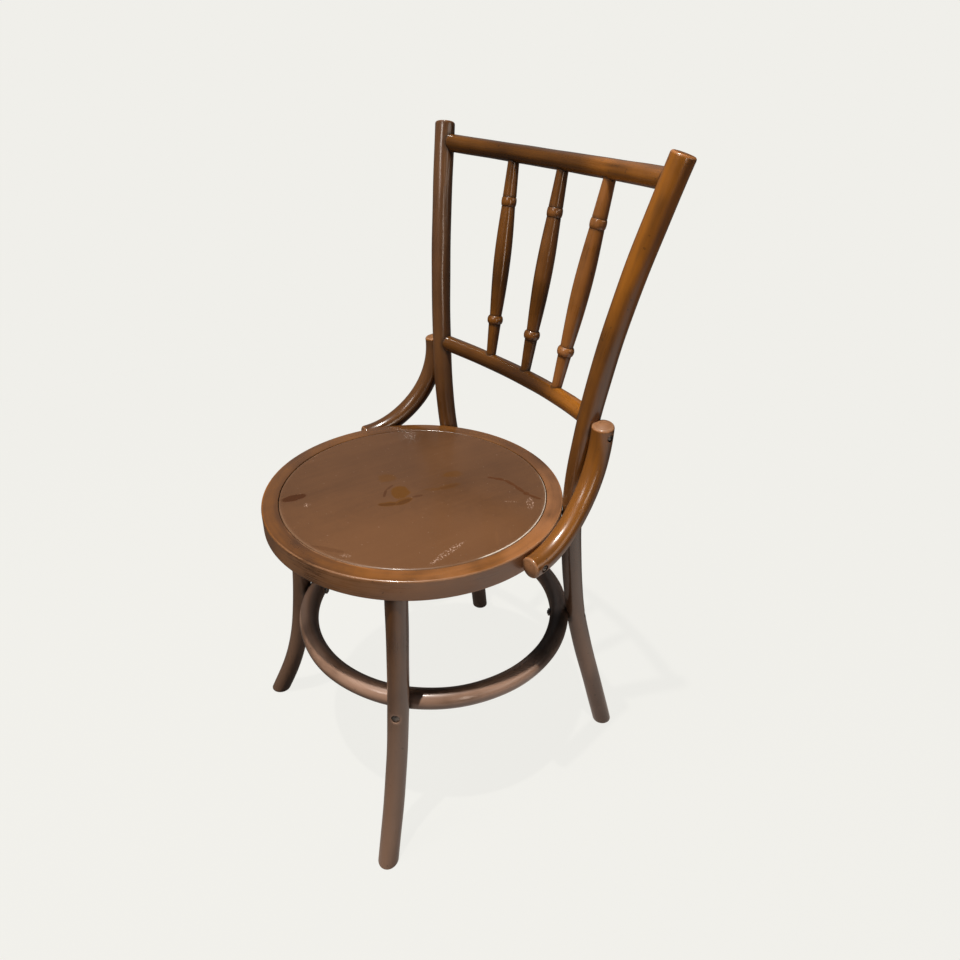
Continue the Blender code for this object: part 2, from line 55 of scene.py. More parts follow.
FULL_TURN = 2 * math.pi
TINY = 1e-9
CORNER_SOIL = 0.8

# A joint is a middle and a radius, a line is a point and a direction, and a rod line has a radius too.
Array = np.ndarray
Socket = bpy.types.NodeSocket
Colour = tuple[float, float, float]
Triple = tuple[float, float, float]
Place = tuple[float, float]
Span = tuple[float, float]
Field = Callable[[Array], Array]
Joint = tuple[Array, float]
Line = tuple[Array, Array]
RodLine = tuple[Array, Array, float]


class Worded(Enum):
    """A choice whose name, in small letters, stands in the names of pieces."""

    @property
    def word(self) -> str:
        """The choice as it stands in names."""
        return self.name.lower()


class Side(Worded):
    """The sitter's sides, as the sign of x."""

    LEFT = 1
    RIGHT = -1


class Station(Worded):
    """Places of the three spindles, counted towards the sitter's left."""

    LEFT = 1
    MIDDLE = 0
    RIGHT = -1


class Slot(Enum):
    """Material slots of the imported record."""

    BENT = "bent_wood"
    TURNED = "turned_wood"
    SEAT = "seat_plywood"
    STEEL = "fastener_steel"


@dataclass(frozen=True)
class Sizes:
    """Driving dimensions that several sub-assemblies share."""

    gap: float = 0.0003
    setback: float = -0.0292
    seat_height: float = 0.450
    ring_radius: float = 0.2060
    ring_rim: float = 0.0220
    ring_ledge: float = 0.0170
    ring_height: float = 0.030
    rod_radius: float = 0.01425
    ring_housing: float = 0.0006
    hoop_housing: float = 0.0020
    hoop_rod_radius: float = 0.0142
    hoop_inset: float = 0.0125
    hoop_drop: float = 0.221
    hoop_setback: float = 0.031
    ankle_height: float = 0.080
    lower_rail_rise: float = 0.1355
    lower_rail_radius: float = 0.0118
    post_rise: float = 0.4394
    top_rail_below_end: float = 0.0255
    top_rail_radius: float = 0.0117

    @property
    def ring_bottom(self) -> float:
        """Height of the ring's underside."""
        return self.seat_height - self.ring_height

    @property
    def ring_middle(self) -> float:
        """Height of the middle of the ring."""
        return self.seat_height - self.ring_height / 2

    @property
    def panel_radius(self) -> float:
        """Radius of the rebate that holds the panel."""
        return self.ring_radius - self.ring_rim

    @property
    def ring_inner_radius(self) -> float:
        """Radius of the ring's inner wall."""
        return self.panel_radius - self.ring_ledge

    @property
    def hoop_radius(self) -> float:
        """Radius of the leg hoop's centre line."""
        return self.ring_radius - self.hoop_inset

    @property
    def hoop_height(self) -> float:
        """Height of the leg hoop's centre line."""
        return self.seat_height - self.hoop_drop

    @property
    def hoop_centre(self) -> Array:
        """Centre of the leg hoop."""
        return np.array([0.0, self.hoop_setback, self.hoop_height])

    @property
    def leg_at_hoop(self) -> float:
        """Distance of a leg's axis from the hoop's centre."""
        return self.hoop_radius + self.hoop_rod_radius + self.rod_radius - self.hoop_housing

    @property
    def lower_rail_height(self) -> float:
        """Height where the lower rail meets the posts."""
        return self.seat_height + self.lower_rail_rise

    @property
    def post_height(self) -> float:
        """Height of the posts' ends."""
        return self.seat_height + self.post_rise

    @property
    def top_rail_height(self) -> float:
        """Height where the top rail meets the posts."""
        return self.post_height - self.top_rail_below_end


SIZES = Sizes()


def unit(vectors: Array) -> Array:
    """Vectors scaled to length one.

    Args:
        vectors: array whose last axis holds x, y, z.

    Returns:
        An array of the same shape.
    """
    return vectors / np.linalg.norm(vectors, axis=-1, keepdims=True)


def dot(a: Array, b: Array) -> Array:
    """Dot products over the last axis, kept as an axis of one."""
    return np.sum(a * b, axis=-1, keepdims=True)


def smooth(value: Array) -> Array:
    """Smooth step of values clipped to 0..1."""
    t = np.clip(value, 0, 1)
    return t * t * (3 - 2 * t)


def around(radius: float, degrees: float, height: float, setback: float = 0.0) -> Array:
    """A point on a level circle round the seat's axis.

    Args:
        radius: radius of the circle.
        degrees: angle from +x towards +y.
        height: height above the floor.
        setback: how far the circle's centre lies behind the seat's.

    Returns:
        The point, seat centred.
    """
    angle = math.radians(degrees)
    return np.array([radius * math.cos(angle), setback + radius * math.sin(angle), height])


def circle(count: int) -> Array:
    """Angles spaced evenly round a full turn."""
    return np.linspace(0, FULL_TURN, count, endpoint=False)


def mirrored(points: Array, side: Side) -> Array:
    """Points of the sitter's left, or their mirror image."""
    return points * np.array([side.value, 1.0, 1.0])


def between(start: float, end: float, step: float) -> Array:
    """Evenly spaced places strictly between two ends, at most a step apart."""
    count = max(math.ceil((end - start) / step), 1)
    return np.linspace(start, end, count + 1)[1:-1]


def height_spline(stations: Array, heights: Array) -> Array:
    """Points of a natural cubic spline over height through stations.

    Between two stations the curve is their straight mix plus the cubic terms (w^3 - w) of each
    station's bend, and the bends solve the usual tridiagonal system with free ends.

    Args:
        stations: (n, 3) points in rising order.
        heights: (m,) heights to read the curve at.

    Returns:
        (m, 3) points.
    """
    z = stations[:, 2]
    steps = np.diff(z)
    slopes = np.diff(stations, axis=0) / steps[:, None]
    inner = np.arange(1, len(z) - 1)
    system = np.eye(len(z))
    system[inner, inner - 1] = steps[:-1]
    system[inner, inner] = 2 * (steps[:-1] + steps[1:])
    system[inner, inner + 1] = steps[1:]
    change = np.zeros_like(stations)
    change[1:-1] = 6 * np.diff(slopes, axis=0)
    bends = np.linalg.solve(system, change)
    i = np.clip(np.searchsorted(z, heights) - 1, 0, len(steps) - 1)
    low = ((z[i + 1] - heights) / steps[i])[:, None]
    high = 1 - low
    bend = (low**3 - low) * bends[i] + (high**3 - high) * bends[i + 1]
    return low * stations[i] + high * stations[i + 1] + bend * (steps[i] ** 2 / 6)[:, None]


class Path:
    """A rod's centre line: dense points, read by running length."""

    TANGENT_STEP = 0.0015

    def __init__(self, points: Array, looped: bool = False) -> None:
        """Keeps the points, closes them if looped, and sums their running length.

        Args:
            points: (n, 3) points along the line.
            looped: whether the line joins up.
        """
        self.looped = looped
        self.points = np.vstack([points, points[:1]]) if looped else points
        steps = np.linalg.norm(np.diff(self.points, axis=0), axis=1)
        self.lengths = np.concatenate([[0.0], np.cumsum(steps)])
        self.total = float(self.lengths[-1])

    def at(self, along: Array | float) -> Array:
        """Points at running lengths, one axis more than the lengths have."""
        along = np.mod(along, self.total) if self.looped else np.clip(along, 0, self.total)
        return np.stack([np.interp(along, self.lengths, self.points[:, k]) for k in range(3)], axis=-1)

    def tangent(self, along: Array | float) -> Array:
        """Unit directions at running lengths, from a step ahead and a step behind.

        Args:
            along: running lengths, any shape.

        Returns:
            The directions, with one axis more.
        """
        step = self.TANGENT_STEP
        if not self.looped:
            along = np.clip(along, step, self.total - step)
        return unit(self.at(along + step) - self.at(along - step))

    def length_at(self, height: float) -> float:
        """Running length where a rising line passes a height."""
        return float(np.interp(height, self.points[:, 2], self.lengths))

    def at_height(self, height: float) -> Array:
        """Point where a rising line passes a height."""
        return self.at(self.length_at(height))

    def length_near(self, point: Array) -> float:
        """Running length of the dense point nearest a place."""
        return float(self.lengths[np.argmin(np.linalg.norm(self.points - point, axis=1))])

    def axes(self, along: Array, facing: Field) -> tuple[Array, Array, Array, Array]:
        """Centre, face direction, side direction and tangent at running lengths.

        The face direction is the facing field made square to the tangent, and the side direction
        is tangent x face.

        Args:
            along: running lengths, any shape.
            facing: field that gives a direction for each running length.

        Returns:
            Four arrays with one axis more than along.
        """
        tangent = self.tangent(along)
        toward = facing(along)
        face = unit(toward - dot(toward, tangent) * tangent)
        return self.at(along), face, np.cross(tangent, face), tangent


def steady(*places: tuple[float, Array]) -> Field:
    """A facing field that turns evenly from one given direction to the next.

    Args:
        places: pairs of running length and direction, in order.

    Returns:
        The field.
    """
    lengths = [length for length, _ in places]
    directions = np.array([direction for _, direction in places])

    def facing(along: Array) -> Array:
        """Directions at running lengths."""
        return np.stack([np.interp(along, lengths, directions[:, k]) for k in range(3)], axis=-1)

    return facing


@dataclass
class Skin:
    """A closed surface on a grid, with what its finish reads.

    Columns always close round. Rows either join up (looped) or close to a pole at each end.
    The grain attribute holds straightened places: length along the wood, then two across it.
    """

    points: Array
    grain: Array
    # Rubbing per point; it also holds painted highlights and painted light.
    wear: Array
    # Soil per point; it also holds painted shade and a painted shadow.
    grime_and_shade: Array
    poles: tuple[Array, Array] | None = None

    def faces(self) -> tuple[Array, Array, Array]:
        """Corner indices, sizes of the faces, and the grain at each corner.

        Each quad runs (row, column), (row, column + 1), (row + 1, column + 1), (row + 1, column),
        so that column step x row step points outwards. Poles get fans of triangles.

        Returns:
            Flat vertex indices, corner counts and (corners, 3) grain places.
        """
        rows, columns = self.points.shape[:2]
        last = rows if self.poles is None else rows - 1
        i, j = np.meshgrid(np.arange(last), np.arange(columns), indexing="ij")
        right = (j + 1) % columns
        below = (i + 1) % rows
        quads = np.stack(
            [i * columns + j, i * columns + right, below * columns + right, below * columns + j], axis=-1
        ).reshape(-1, 4)
        wide = self.grain.shape[0]
        under = np.minimum(i + 1, wide - 1)
        grain = np.stack(
            [self.grain[i, j], self.grain[i, right], self.grain[under, right], self.grain[under, j]], axis=2
        ).reshape(-1, 3)
        if self.poles is None:
            return quads.ravel(), np.full(len(quads), 4), grain
        ring = np.arange(columns)
        beside = (ring + 1) % columns
        first_pole = np.full(columns, rows * columns)
        end = (rows - 1) * columns
        start_fan = np.stack([first_pole, beside, ring], axis=-1)
        end_fan = np.stack([first_pole + 1, end + ring, end + beside], axis=-1)
        flat = self.grain[:rows].reshape(-1, 3)
        pole_grain = np.stack([self.grain[0].mean(axis=0), self.grain[rows - 1].mean(axis=0)])
        places = np.vstack([flat, pole_grain])
        fans = np.vstack([start_fan, end_fan])
        corners = np.concatenate([quads.ravel(), fans.ravel()])
        counts = np.concatenate([np.full(len(quads), 4), np.full(len(fans), 3)])
        return corners, counts, np.vstack([grain, places[fans.ravel()]])

    def vertices(self) -> tuple[Array, Array, Array]:
        """The surface's vertices, with the poles last.

        Returns:
            Places, wear and grime.
        """
        points = self.points.reshape(-1, 3)
        wear, grime_and_shade = self.wear.ravel(), self.grime_and_shade.ravel()
        if self.poles is None:
            return points, wear, grime_and_shade
        ends = np.stack(self.poles)
        pole_wear = [self.wear[0].mean(), self.wear[-1].mean()]
        pole_grime = [self.grime_and_shade[0].mean(), self.grime_and_shade[-1].mean()]
        return np.vstack([points, ends]), np.append(wear, pole_wear), np.append(grime_and_shade, pole_grime)


@dataclass
class Maker:
    """Turns skins into pieces that ride on the chair's one body."""

    finishes: dict[Slot, bpy.types.Material]
    body: str = "root"
    sharp_angle: float = 38.0
    grain_shift: Triple = (0.37, 0.1147, 0.0629)
    made: int = 0

    def piece(self, name: str, skins: list[Skin], slot: Slot, *nodes: str) -> bpy.types.Object:
        """Makes one piece of one or more closed skins and puts it in the frame.

        Args:
            name: name of the piece.
            skins: its surfaces, seat centred.
            slot: material slot, which also picks the finish.
            nodes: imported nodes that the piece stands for.

        Returns:
            The new object.
        """
        points, wear, grime_and_shade, corners, counts, grain = [], [], [], [], [], []
        offset = 0
        for skin in skins:
            places, worn, dark = skin.vertices()
            indices, sizes, along = skin.faces()
            points.append(places)
            wear.append(worn)
            grime_and_shade.append(dark)
            corners.append(indices + offset)
            counts.append(sizes)
            grain.append(along)
            offset += len(places)
        starts = np.concatenate([[0], np.cumsum(np.concatenate(counts))[:-1]])
        corner_list = np.concatenate(corners)
        mesh = bpy.data.meshes.new(name)
        mesh.vertices.add(offset)
        mesh.vertices.foreach_set("co", (np.vstack(points) + [0, SIZES.setback, 0]).ravel())
        mesh.loops.add(len(corner_list))
        mesh.loops.foreach_set("vertex_index", corner_list)
        mesh.polygons.add(len(starts))
        mesh.polygons.foreach_set("loop_start", starts)
        mesh.update(calc_edges=True)
        shift = self.made * np.array(self.grain_shift)
        streaks = mesh.attributes.new("grain", "FLOAT_VECTOR", "CORNER")
        streaks.data.foreach_set("vector", (np.vstack(grain) + shift).ravel())
        # These attributes carry painted highlights, light, shade and shadow as well as rubbing and soil.
        for label, values in (("wear", wear), ("grime_and_shade", grime_and_shade)):
            layer = mesh.attributes.new(label, "FLOAT", "POINT")
            layer.data.foreach_set("value", np.concatenate(values))
        mesh.shade_smooth()
        mesh.set_sharp_from_angle(angle=math.radians(self.sharp_angle))
        mesh.materials.append(self.finishes[slot])
        piece = bpy.data.objects.new(name, mesh)
        bpy.context.scene.collection.objects.link(piece)
        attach(piece, self.body)
        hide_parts(*nodes)
        self.made += 1
        LOG.info("%s: %d vertices, stands for %s", name, offset, ", ".join(nodes))
        return piece


@dataclass(frozen=True)
class Sink:
    """A round recess or a flat face let into the side of a rod."""

    along: float
    radius: float
    depth: float
    rim: float = 0.0006


def pushed(points: Array, feet: Array, clear: float) -> Array:
    """Points moved straight away from their feet on an axis until they are clear of it.

    Args:
        points: (..., 3) points.
        feet: for each point, the nearest place of the axis.
        clear: distance to keep from the axis.

    Returns:
        The points, of which those that were clear stay.
    """
    away = points - feet
    distance = np.linalg.norm(away, axis=-1, keepdims=True)
    return feet + away * np.maximum(1.0, clear / np.maximum(distance, TINY))


def keep_off_path(path: Path, clear: float) -> Field:
    """A housing that pushes points out of a bent round rod that rises.

    Each point's foot starts at its own height, and three times it slides along the axis by as much
    as the point lies ahead of it.

    Args:
        path: the rod's centre line.
        clear: radius to keep clear of.

    Returns:
        A field that moves points out to that radius.
    """

    def carve(points: Array) -> Array:
        """Points moved out to the rod's surface.

        Args:
            points: (..., 3) points.

        Returns:
            The moved points.
        """
        flat = points.reshape(-1, 3)
        height = np.clip(flat[:, 2], path.points[0, 2], path.points[-1, 2])
        along = np.interp(height, path.points[:, 2], path.lengths)
        for _ in range(3):
            along = along + dot(flat - path.at(along), path.tangent(along))[:, 0]
        return pushed(flat, path.at(along), clear).reshape(points.shape)

    return carve


def keep_off_hoop(points: Array) -> Array:
    """Points moved out of the leg hoop: straight away from the nearest place of its circle.

    Args:
        points: (..., 3) points.

    Returns:
        The moved points.
    """
    centre = SIZES.hoop_centre
    feet = centre + unit((points - centre) * LEVEL) * SIZES.hoop_radius
    return pushed(points, feet, SIZES.hoop_rod_radius + SIZES.gap)


def keep_off_ring(points: Array) -> Array:
    """Points beside the seat ring, moved out square to the seat's axis.

    Args:
        points: (..., 3) points.

    Returns:
        The points, of which those above and below the ring stay.
    """
    clear = SIZES.ring_radius + SIZES.gap
    beside = (points[..., 2] > SIZES.ring_bottom) & (points[..., 2] < SIZES.seat_height)
    distance = np.linalg.norm(points[..., :2], axis=-1)
    push = np.where(beside & (distance < clear), clear / distance, 1.0)
    return points * np.stack([push, push, np.ones_like(push)], axis=-1)


def soiled(grime_and_shade: Array, points: Array, joints: tuple[Joint, ...], reach: float) -> Array:
    """Grime with the soil that has gathered round joints.

    Args:
        grime_and_shade: grime so far.
        points: the surface's points.
        joints: the joints.
        reach: how far soil goes past a joint's radius.

    Returns:
        The new grime.
    """
    for middle, radius in joints:
        distance = np.linalg.norm(points - middle, axis=-1) - radius
        grime_and_shade = np.maximum(grime_and_shade, CORNER_SOIL * smooth(1 - distance / reach))
    return grime_and_shade


def ripple(along: Array, turn: Array, waves: Triple) -> Array:
    """Waves of a hand-worked rod: two sines, one winding twice and one thrice the other way round.

    Args:
        along: running lengths.
        turn: angles round the rod.
        waves: wave numbers of both sines along the rod, and the second one's start.

    Returns:
        Values from -2 to 2.
    """
    first, second, start = waves
    return np.sin(first * along + 2 * turn) + np.sin(second * along - 3 * turn + start)


def window(angle: Array, span: Span, soft: float = 8.0) -> Array:
    """1 between two angles, falling off over a soft stretch outside them.

    Args:
        angle: angles in radians.
        span: first and last angle in degrees.
        soft: width of the soft stretch in degrees.

    Returns:
        Values from 0 to 1.
    """
    middle, half = (span[0] + span[1]) / 2, (span[1] - span[0]) / 2
    apart = abs((np.degrees(angle) - middle + 180) % 360 - 180)
    return smooth((half + soft - apart) / soft)


def bell(value: Array, middle: float, width: float) -> Array:
    """A bell curve: 1 at the middle and 1/e a width away from it."""
    return np.exp(-(((value - middle) / width) ** 2))


@dataclass
class Rod:
    """A bent round rod with rounded ends, recesses and housings.

    The surface is centre(s) + r cos(a) face(s) + r sin(a) side(s), with s along the rod and a
    round it. At a rounded end r follows a quarter circle and then closes to the axis. At a level
    end points slide along the tangent until each row is level. Round a recess the grid's nested
    squares become nested circles, which fall to a flat floor inside the rim.
    """

    path: Path
    radius: float
    facing: Field
    start_round: float = 0.0015
    end_round: float = 0.0015
    level_start: bool = False
    level_end: bool = False
    sinks: tuple[Sink, ...] = ()
    housings: tuple[Field, ...] = ()
    joints: tuple[Joint, ...] = ()
    step: float = 0.005
    columns: int = 34
    patch: int = 10
    patch_scale: float = 2.0
    level_reach: float = 0.05
    waviness: float = 0.00010
    waves: Triple = (41.0, 67.0, 1.3)
    joint_soil: float = 0.006
    bulge: float = 0.0
    face_wear: float = 0.45
    rim_wear: float = 1.0
    face_soil: float = 0.0
    end_steps: int = 6
    end_shares: tuple[float, ...] = (0.3, 0.6, 0.88)
    ring_radii: tuple[float, ...] = (0.0, 0.35, 0.7, 0.97, 1.0, 1.0, 1.0)
    ring_rims: tuple[float, ...] = (0.0, 0.0, 0.0, 0.0, 0.0, 0.25, 1.0)
    ring_falls: tuple[float, ...] = (1.0, 1.0, 1.0, 1.0, 0.5, 0.1, 0.0)
    ring_blends: tuple[float, ...] = (0.8, 0.5, 0.2, 0.0)
    ring_wear: tuple[float, ...] = (0, 0, 0, 0, 0.1, 0.8, 1.0, 0.4, 0.1, 0, 0)
    ring_grime_and_shade: tuple[float, ...] = (0.7, 0.7, 0.8, 1.0, 0.9, 0.5, 0.15, 0.05, 0, 0, 0)

    @property
    def half(self) -> float:
        """Half the side of the square patch round a recess."""
        return self.patch_scale * max(sink.radius for sink in self.sinks)

    def end_rows(self, rounding: float) -> tuple[Array, Array, Array]:
        """Rows of a rounded end, from its face inwards.

        Args:
            rounding: radius of the rounding.

        Returns:
            Distance from the end, radius and wear of each row.
        """
        turn = np.linspace(math.pi / 2, 0, self.end_steps)
        share = np.array(self.end_shares)
        depth = np.concatenate([self.bulge * share**2, self.bulge + rounding * (1 - np.sin(turn))])
        flat = share * (self.radius - rounding)
        radius = np.concatenate([flat, self.radius - rounding * (1 - np.cos(turn))])
        edge = self.rim_wear * np.sin(2 * turn) + self.face_wear * np.sin(turn) ** 2
        return depth, radius, np.concatenate([np.full(len(share), self.face_wear), edge])

    def rows(self) -> tuple[Array, Array, Array, list[int]]:
        """Rows of the grid, denser at the ends and across recesses.

        Returns:
            Running length, radius and wear of each row, and the first row of each recess's patch.
        """
        total = self.path.total
        along, radius, wear, firsts = [], [], [], []
        if self.path.looped:
            along.append(np.zeros(1))
            low, high = 0.0, total
        else:
            depth, size, worn = self.end_rows(self.start_round)
            along.append(depth)
            radius.append(size)
            wear.append(worn)
            low, high = self.start_round + self.bulge, total - self.end_round - self.bulge
        for sink in self.sinks:
            along.append(between(low, sink.along - self.half, self.step))
            firsts.append(sum(len(rows) for rows in along))
            along.append(sink.along + self.half * np.linspace(-1, 1, 2 * self.patch + 1))
            low = sink.along + self.half
        along.append(between(low, high, self.step))
        if self.path.looped:
            lengths = np.concatenate(along)
            return lengths, np.full(len(lengths), self.radius), np.zeros(len(lengths)), firsts
        plain = sum(len(rows) for rows in along[1:])
        depth, size, worn = (rows[::-1] for rows in self.end_rows(self.end_round))
        along.append(total - depth)
        radius += [np.full(plain, self.radius), size]
        wear += [np.zeros(plain), worn]
        return np.concatenate(along), np.concatenate(radius), np.concatenate(wear), firsts

    def angles(self) -> Array:
        """Angle of each column, close together across the patches.

        Returns:
            Rising angles in radians, the patch's own first.
        """
        if not self.sinks:
            return circle(self.columns + 2 * self.patch)
        reach = self.half / self.radius
        patch = np.linspace(-reach, reach, 2 * self.patch + 1)
        rest = np.linspace(reach, FULL_TURN - reach, self.columns + 2)[1:-1]
        return np.concatenate([patch, rest])

    def sink_patch(self, sink: Sink) -> tuple[Array, Array, Array, Array, Array]:
        """Places of a recess's patch.

        Ring k of the patch is the square at k steps from its middle. Its corners are drawn in to
        a circle where the blend is 1 and stay square at the border.

        Args:
            sink: the recess.

        Returns:
            Length from the middle, height over the axis, offset to the side, wear and grime.
        """
        grid = np.linspace(-1, 1, 2 * self.patch + 1)
        a, b = np.meshgrid(grid, grid, indexing="ij")
        ring = np.rint(np.maximum(abs(a), abs(b)) * self.patch).astype(int)
        spread = np.maximum(np.hypot(a, b), TINY)
        inner = sink.radius * np.array(self.ring_radii) + sink.rim * np.array(self.ring_rims)
        steps = np.linspace(inner[-1], self.half, self.patch - len(inner) + 2)[1:]
        radii = np.concatenate([inner, steps])[ring]
        blend = np.concatenate([np.ones(len(inner)), self.ring_blends])[ring]
        fall = np.concatenate([self.ring_falls, np.zeros(len(steps))])[ring]
        length = blend * radii * a / spread + (1 - blend) * a * self.half
        turn = (blend * radii * b / spread + (1 - blend) * b * self.half) / self.radius
        height = (1 - fall) * self.radius * np.cos(turn) + fall * (self.radius - sink.depth)
        wear, grime_and_shade = np.array(self.ring_wear)[ring], np.array(self.ring_grime_and_shade)[ring]
        return length, height, self.radius * np.sin(turn), wear, grime_and_shade

    def skin(self) -> Skin:
        """The rod's whole surface.

        Returns:
            The skin, looped if the rod's centre line is.
        """
        lengths, radii, worn, firsts = self.rows()
        angle = self.angles()
        along = np.repeat(lengths[:, None], len(angle), axis=1)
        height = radii[:, None] * np.cos(angle)
        offset = radii[:, None] * np.sin(angle)
        wear = np.repeat(worn[:, None], len(angle), axis=1)
        grime_and_shade = np.zeros_like(wear)
        if not self.path.looped:
            face_rows = len(self.end_shares) + 1
            grime_and_shade[:face_rows], grime_and_shade[-face_rows:] = self.face_soil, self.face_soil
        for sink, first in zip(self.sinks, firsts):
            block = np.s_[first : first + 2 * self.patch + 1, : 2 * self.patch + 1]
            length, rise, aside, rim_wear, soil = self.sink_patch(sink)
            along[block] = sink.along + length
            height[block], offset[block] = rise, aside
            wear[block], grime_and_shade[block] = rim_wear, soil
        centre, face, side, tangent = self.path.axes(along, self.facing)
        spoke = height[..., None] * face + offset[..., None] * side
        swell = self.waviness * ripple(along, angle, self.waves) / self.radius
        points = centre + spoke * (1 + swell[..., None])
        slide = np.zeros_like(along)
        for level, distance in ((self.level_start, along), (self.level_end, self.path.total - along)):
            if level:
                slide += smooth(1 - distance / self.level_reach) * spoke[..., 2] / tangent[..., 2]
        points = points - slide[..., None] * tangent
        for carve in self.housings:
            points = carve(points)
        grime_and_shade = soiled(grime_and_shade, points, self.joints, self.joint_soil)
        grain = np.stack([along - slide, height, offset], axis=-1)
        if self.path.looped:
            grain = np.concatenate([grain, grain[:1] + [self.path.total, 0, 0]])
            return Skin(points, grain, wear, grime_and_shade)
        poles = self.path.at(np.array([0.0, self.path.total]))
        for carve in self.housings:
            poles = carve(poles)
        return Skin(points, grain, wear, grime_and_shade, (poles[0], poles[1]))


@dataclass
class ScribedRod:
    """A straight or bowed rod whose two ends are scribed to round rods.

    The surface is centre(s) + r(s) cos(a) face(s) + r(s) sin(a) side(s). Near each end s slides
    with a, so that the last row lies on the other rod, found by halving the stretch in between.
    """

    path: Path
    facing: Field
    profile: Field
    lengths: Array
    start_rod: RodLine
    end_rod: RodLine
    reach: float
    columns: int = 48
    halvings: int = 30
    joints: tuple[Joint, ...] = ()
    end_soil: float = 0.006
    waviness: float = 0.00007
    waves: Triple = (53.0, 83.0, 0.7)
    edge_wear: Field = np.zeros_like

    def surface(self, along: Array, angle: Array) -> tuple[Array, Array, Array]:
        """Points of the surface.

        Args:
            along: running lengths.
            angle: angles round the axis, of the same shape.

        Returns:
            The points, with their height and offset from the axis.
        """
        centre, face, side, _ = self.path.axes(along, self.facing)
        radius = self.profile(along) + self.waviness * ripple(along, angle, self.waves)
        height, offset = radius * np.cos(angle), radius * np.sin(angle)
        return centre + height[..., None] * face + offset[..., None] * side, height, offset

    def scribe(self, angle: Array, inside: float, outside: float, rod: RodLine) -> Array:
        """Lengths where the surface meets a rod, one for each angle.

        Args:
            angle: column angles.
            inside: a length within the rod.
            outside: a length clear of it.
            rod: a point of the rod's axis, its direction, and its radius.

        Returns:
            The lengths.
        """
        start, direction, radius = rod
        low, high = np.full_like(angle, inside), np.full_like(angle, outside)
        for _ in range(self.halvings):
            middle = (low + high) / 2
            points, _, _ = self.surface(middle, angle)
            away = points - start - dot(points - start, direction) * direction
            clear = np.linalg.norm(away, axis=-1) > radius
            high, low = np.where(clear, middle, high), np.where(clear, low, middle)
        return high

    def skin(self) -> Skin:
        """The whole surface, closed at both scribed ends.

        Returns:
            The skin, with soil where it meets other rods.
        """
        angle = circle(self.columns)
        first, last = self.lengths[0], self.lengths[-1]
        start = self.scribe(angle, 0.0, first + self.reach / 2, self.start_rod)
        end = self.scribe(angle, self.path.total, last - self.reach / 2, self.end_rod)
        low = np.clip(1 - (self.lengths - first) / self.reach, 0, 1)[:, None]
        high = np.clip(1 - (last - self.lengths) / self.reach, 0, 1)[:, None]
        along = self.lengths[:, None] + low * (start - first) + high * (end - last)
        turn = np.repeat(angle[None], len(along), axis=0)
        points, height, offset = self.surface(along, turn)
        from_end = np.minimum(along - start, end - along)
        grime_and_shade = CORNER_SOIL * smooth(1 - from_end / self.end_soil)
        grime_and_shade = soiled(grime_and_shade, points, self.joints, self.end_soil)
        grain = np.stack([along, height, offset], axis=-1)
        poles = (points[0].mean(axis=0), points[-1].mean(axis=0))
        return Skin(points, grain, self.edge_wear(along), grime_and_shade, poles)


def square_to(axis: Array) -> Line:
    """Two directions square to an axis that isn't upright: the one nearest up, and axis x that one."""
    face = unit(UP - UP.dot(axis) * axis)
    return face, np.cross(axis, face)


def turned(profile: Array, start: Array, axis: Array, columns: int, grime_and_shade: float) -> Skin:
    """A piece turned about an axis: radius and height of the profile, carried round the axis.

    Args:
        profile: (n, 2) radius and height from the lower pole to the upper one, poles left out.
        start: place of height zero on the axis.
        axis: unit direction of the axis.
        columns: number of columns round the axis.
        grime_and_shade: grime of the whole skin.

    Returns:
        The skin, with its poles at the heights of the first and last rows.
    """
    face, side = square_to(axis)
    angle = circle(columns)
    radius, height = profile[:, :1], profile[:, 1:]
    across = np.stack([radius * np.cos(angle), radius * np.sin(angle)], axis=-1)
    points = start + height[..., None] * axis + across[..., :1] * face + across[..., 1:] * side
    shape = across.shape[:2]
    grain = np.concatenate([np.broadcast_to(height, shape)[..., None], across], axis=-1)
    poles = (start + profile[0, 1] * axis, start + profile[-1, 1] * axis)
    return Skin(points, grain, np.zeros(shape), np.full(shape, grime_and_shade), poles)


def arc(centre: Place, half_axes: Place, start: float, end: float, count: int) -> Array:
    """Points of a round or elliptic arc in a profile.

    Args:
        centre: radius and height of the arc's centre.
        half_axes: half axis along the radius and half axis along the height.
        start: first angle in degrees.
        end: last angle in degrees.
        count: number of points.

    Returns:
        (count, 2) radius and height.
    """
    angle = np.radians(np.linspace(start, end, count))
    return np.array(centre) + np.array(half_axes) * np.stack([np.cos(angle), np.sin(angle)], axis=-1)


@dataclass(frozen=True)
class Cells:
    """Cells of a noise, counted per metre along the grain and across it, and their finer detail."""

    along: float
    across: float
    detail: float = 2.0
    rough: float = 0.5


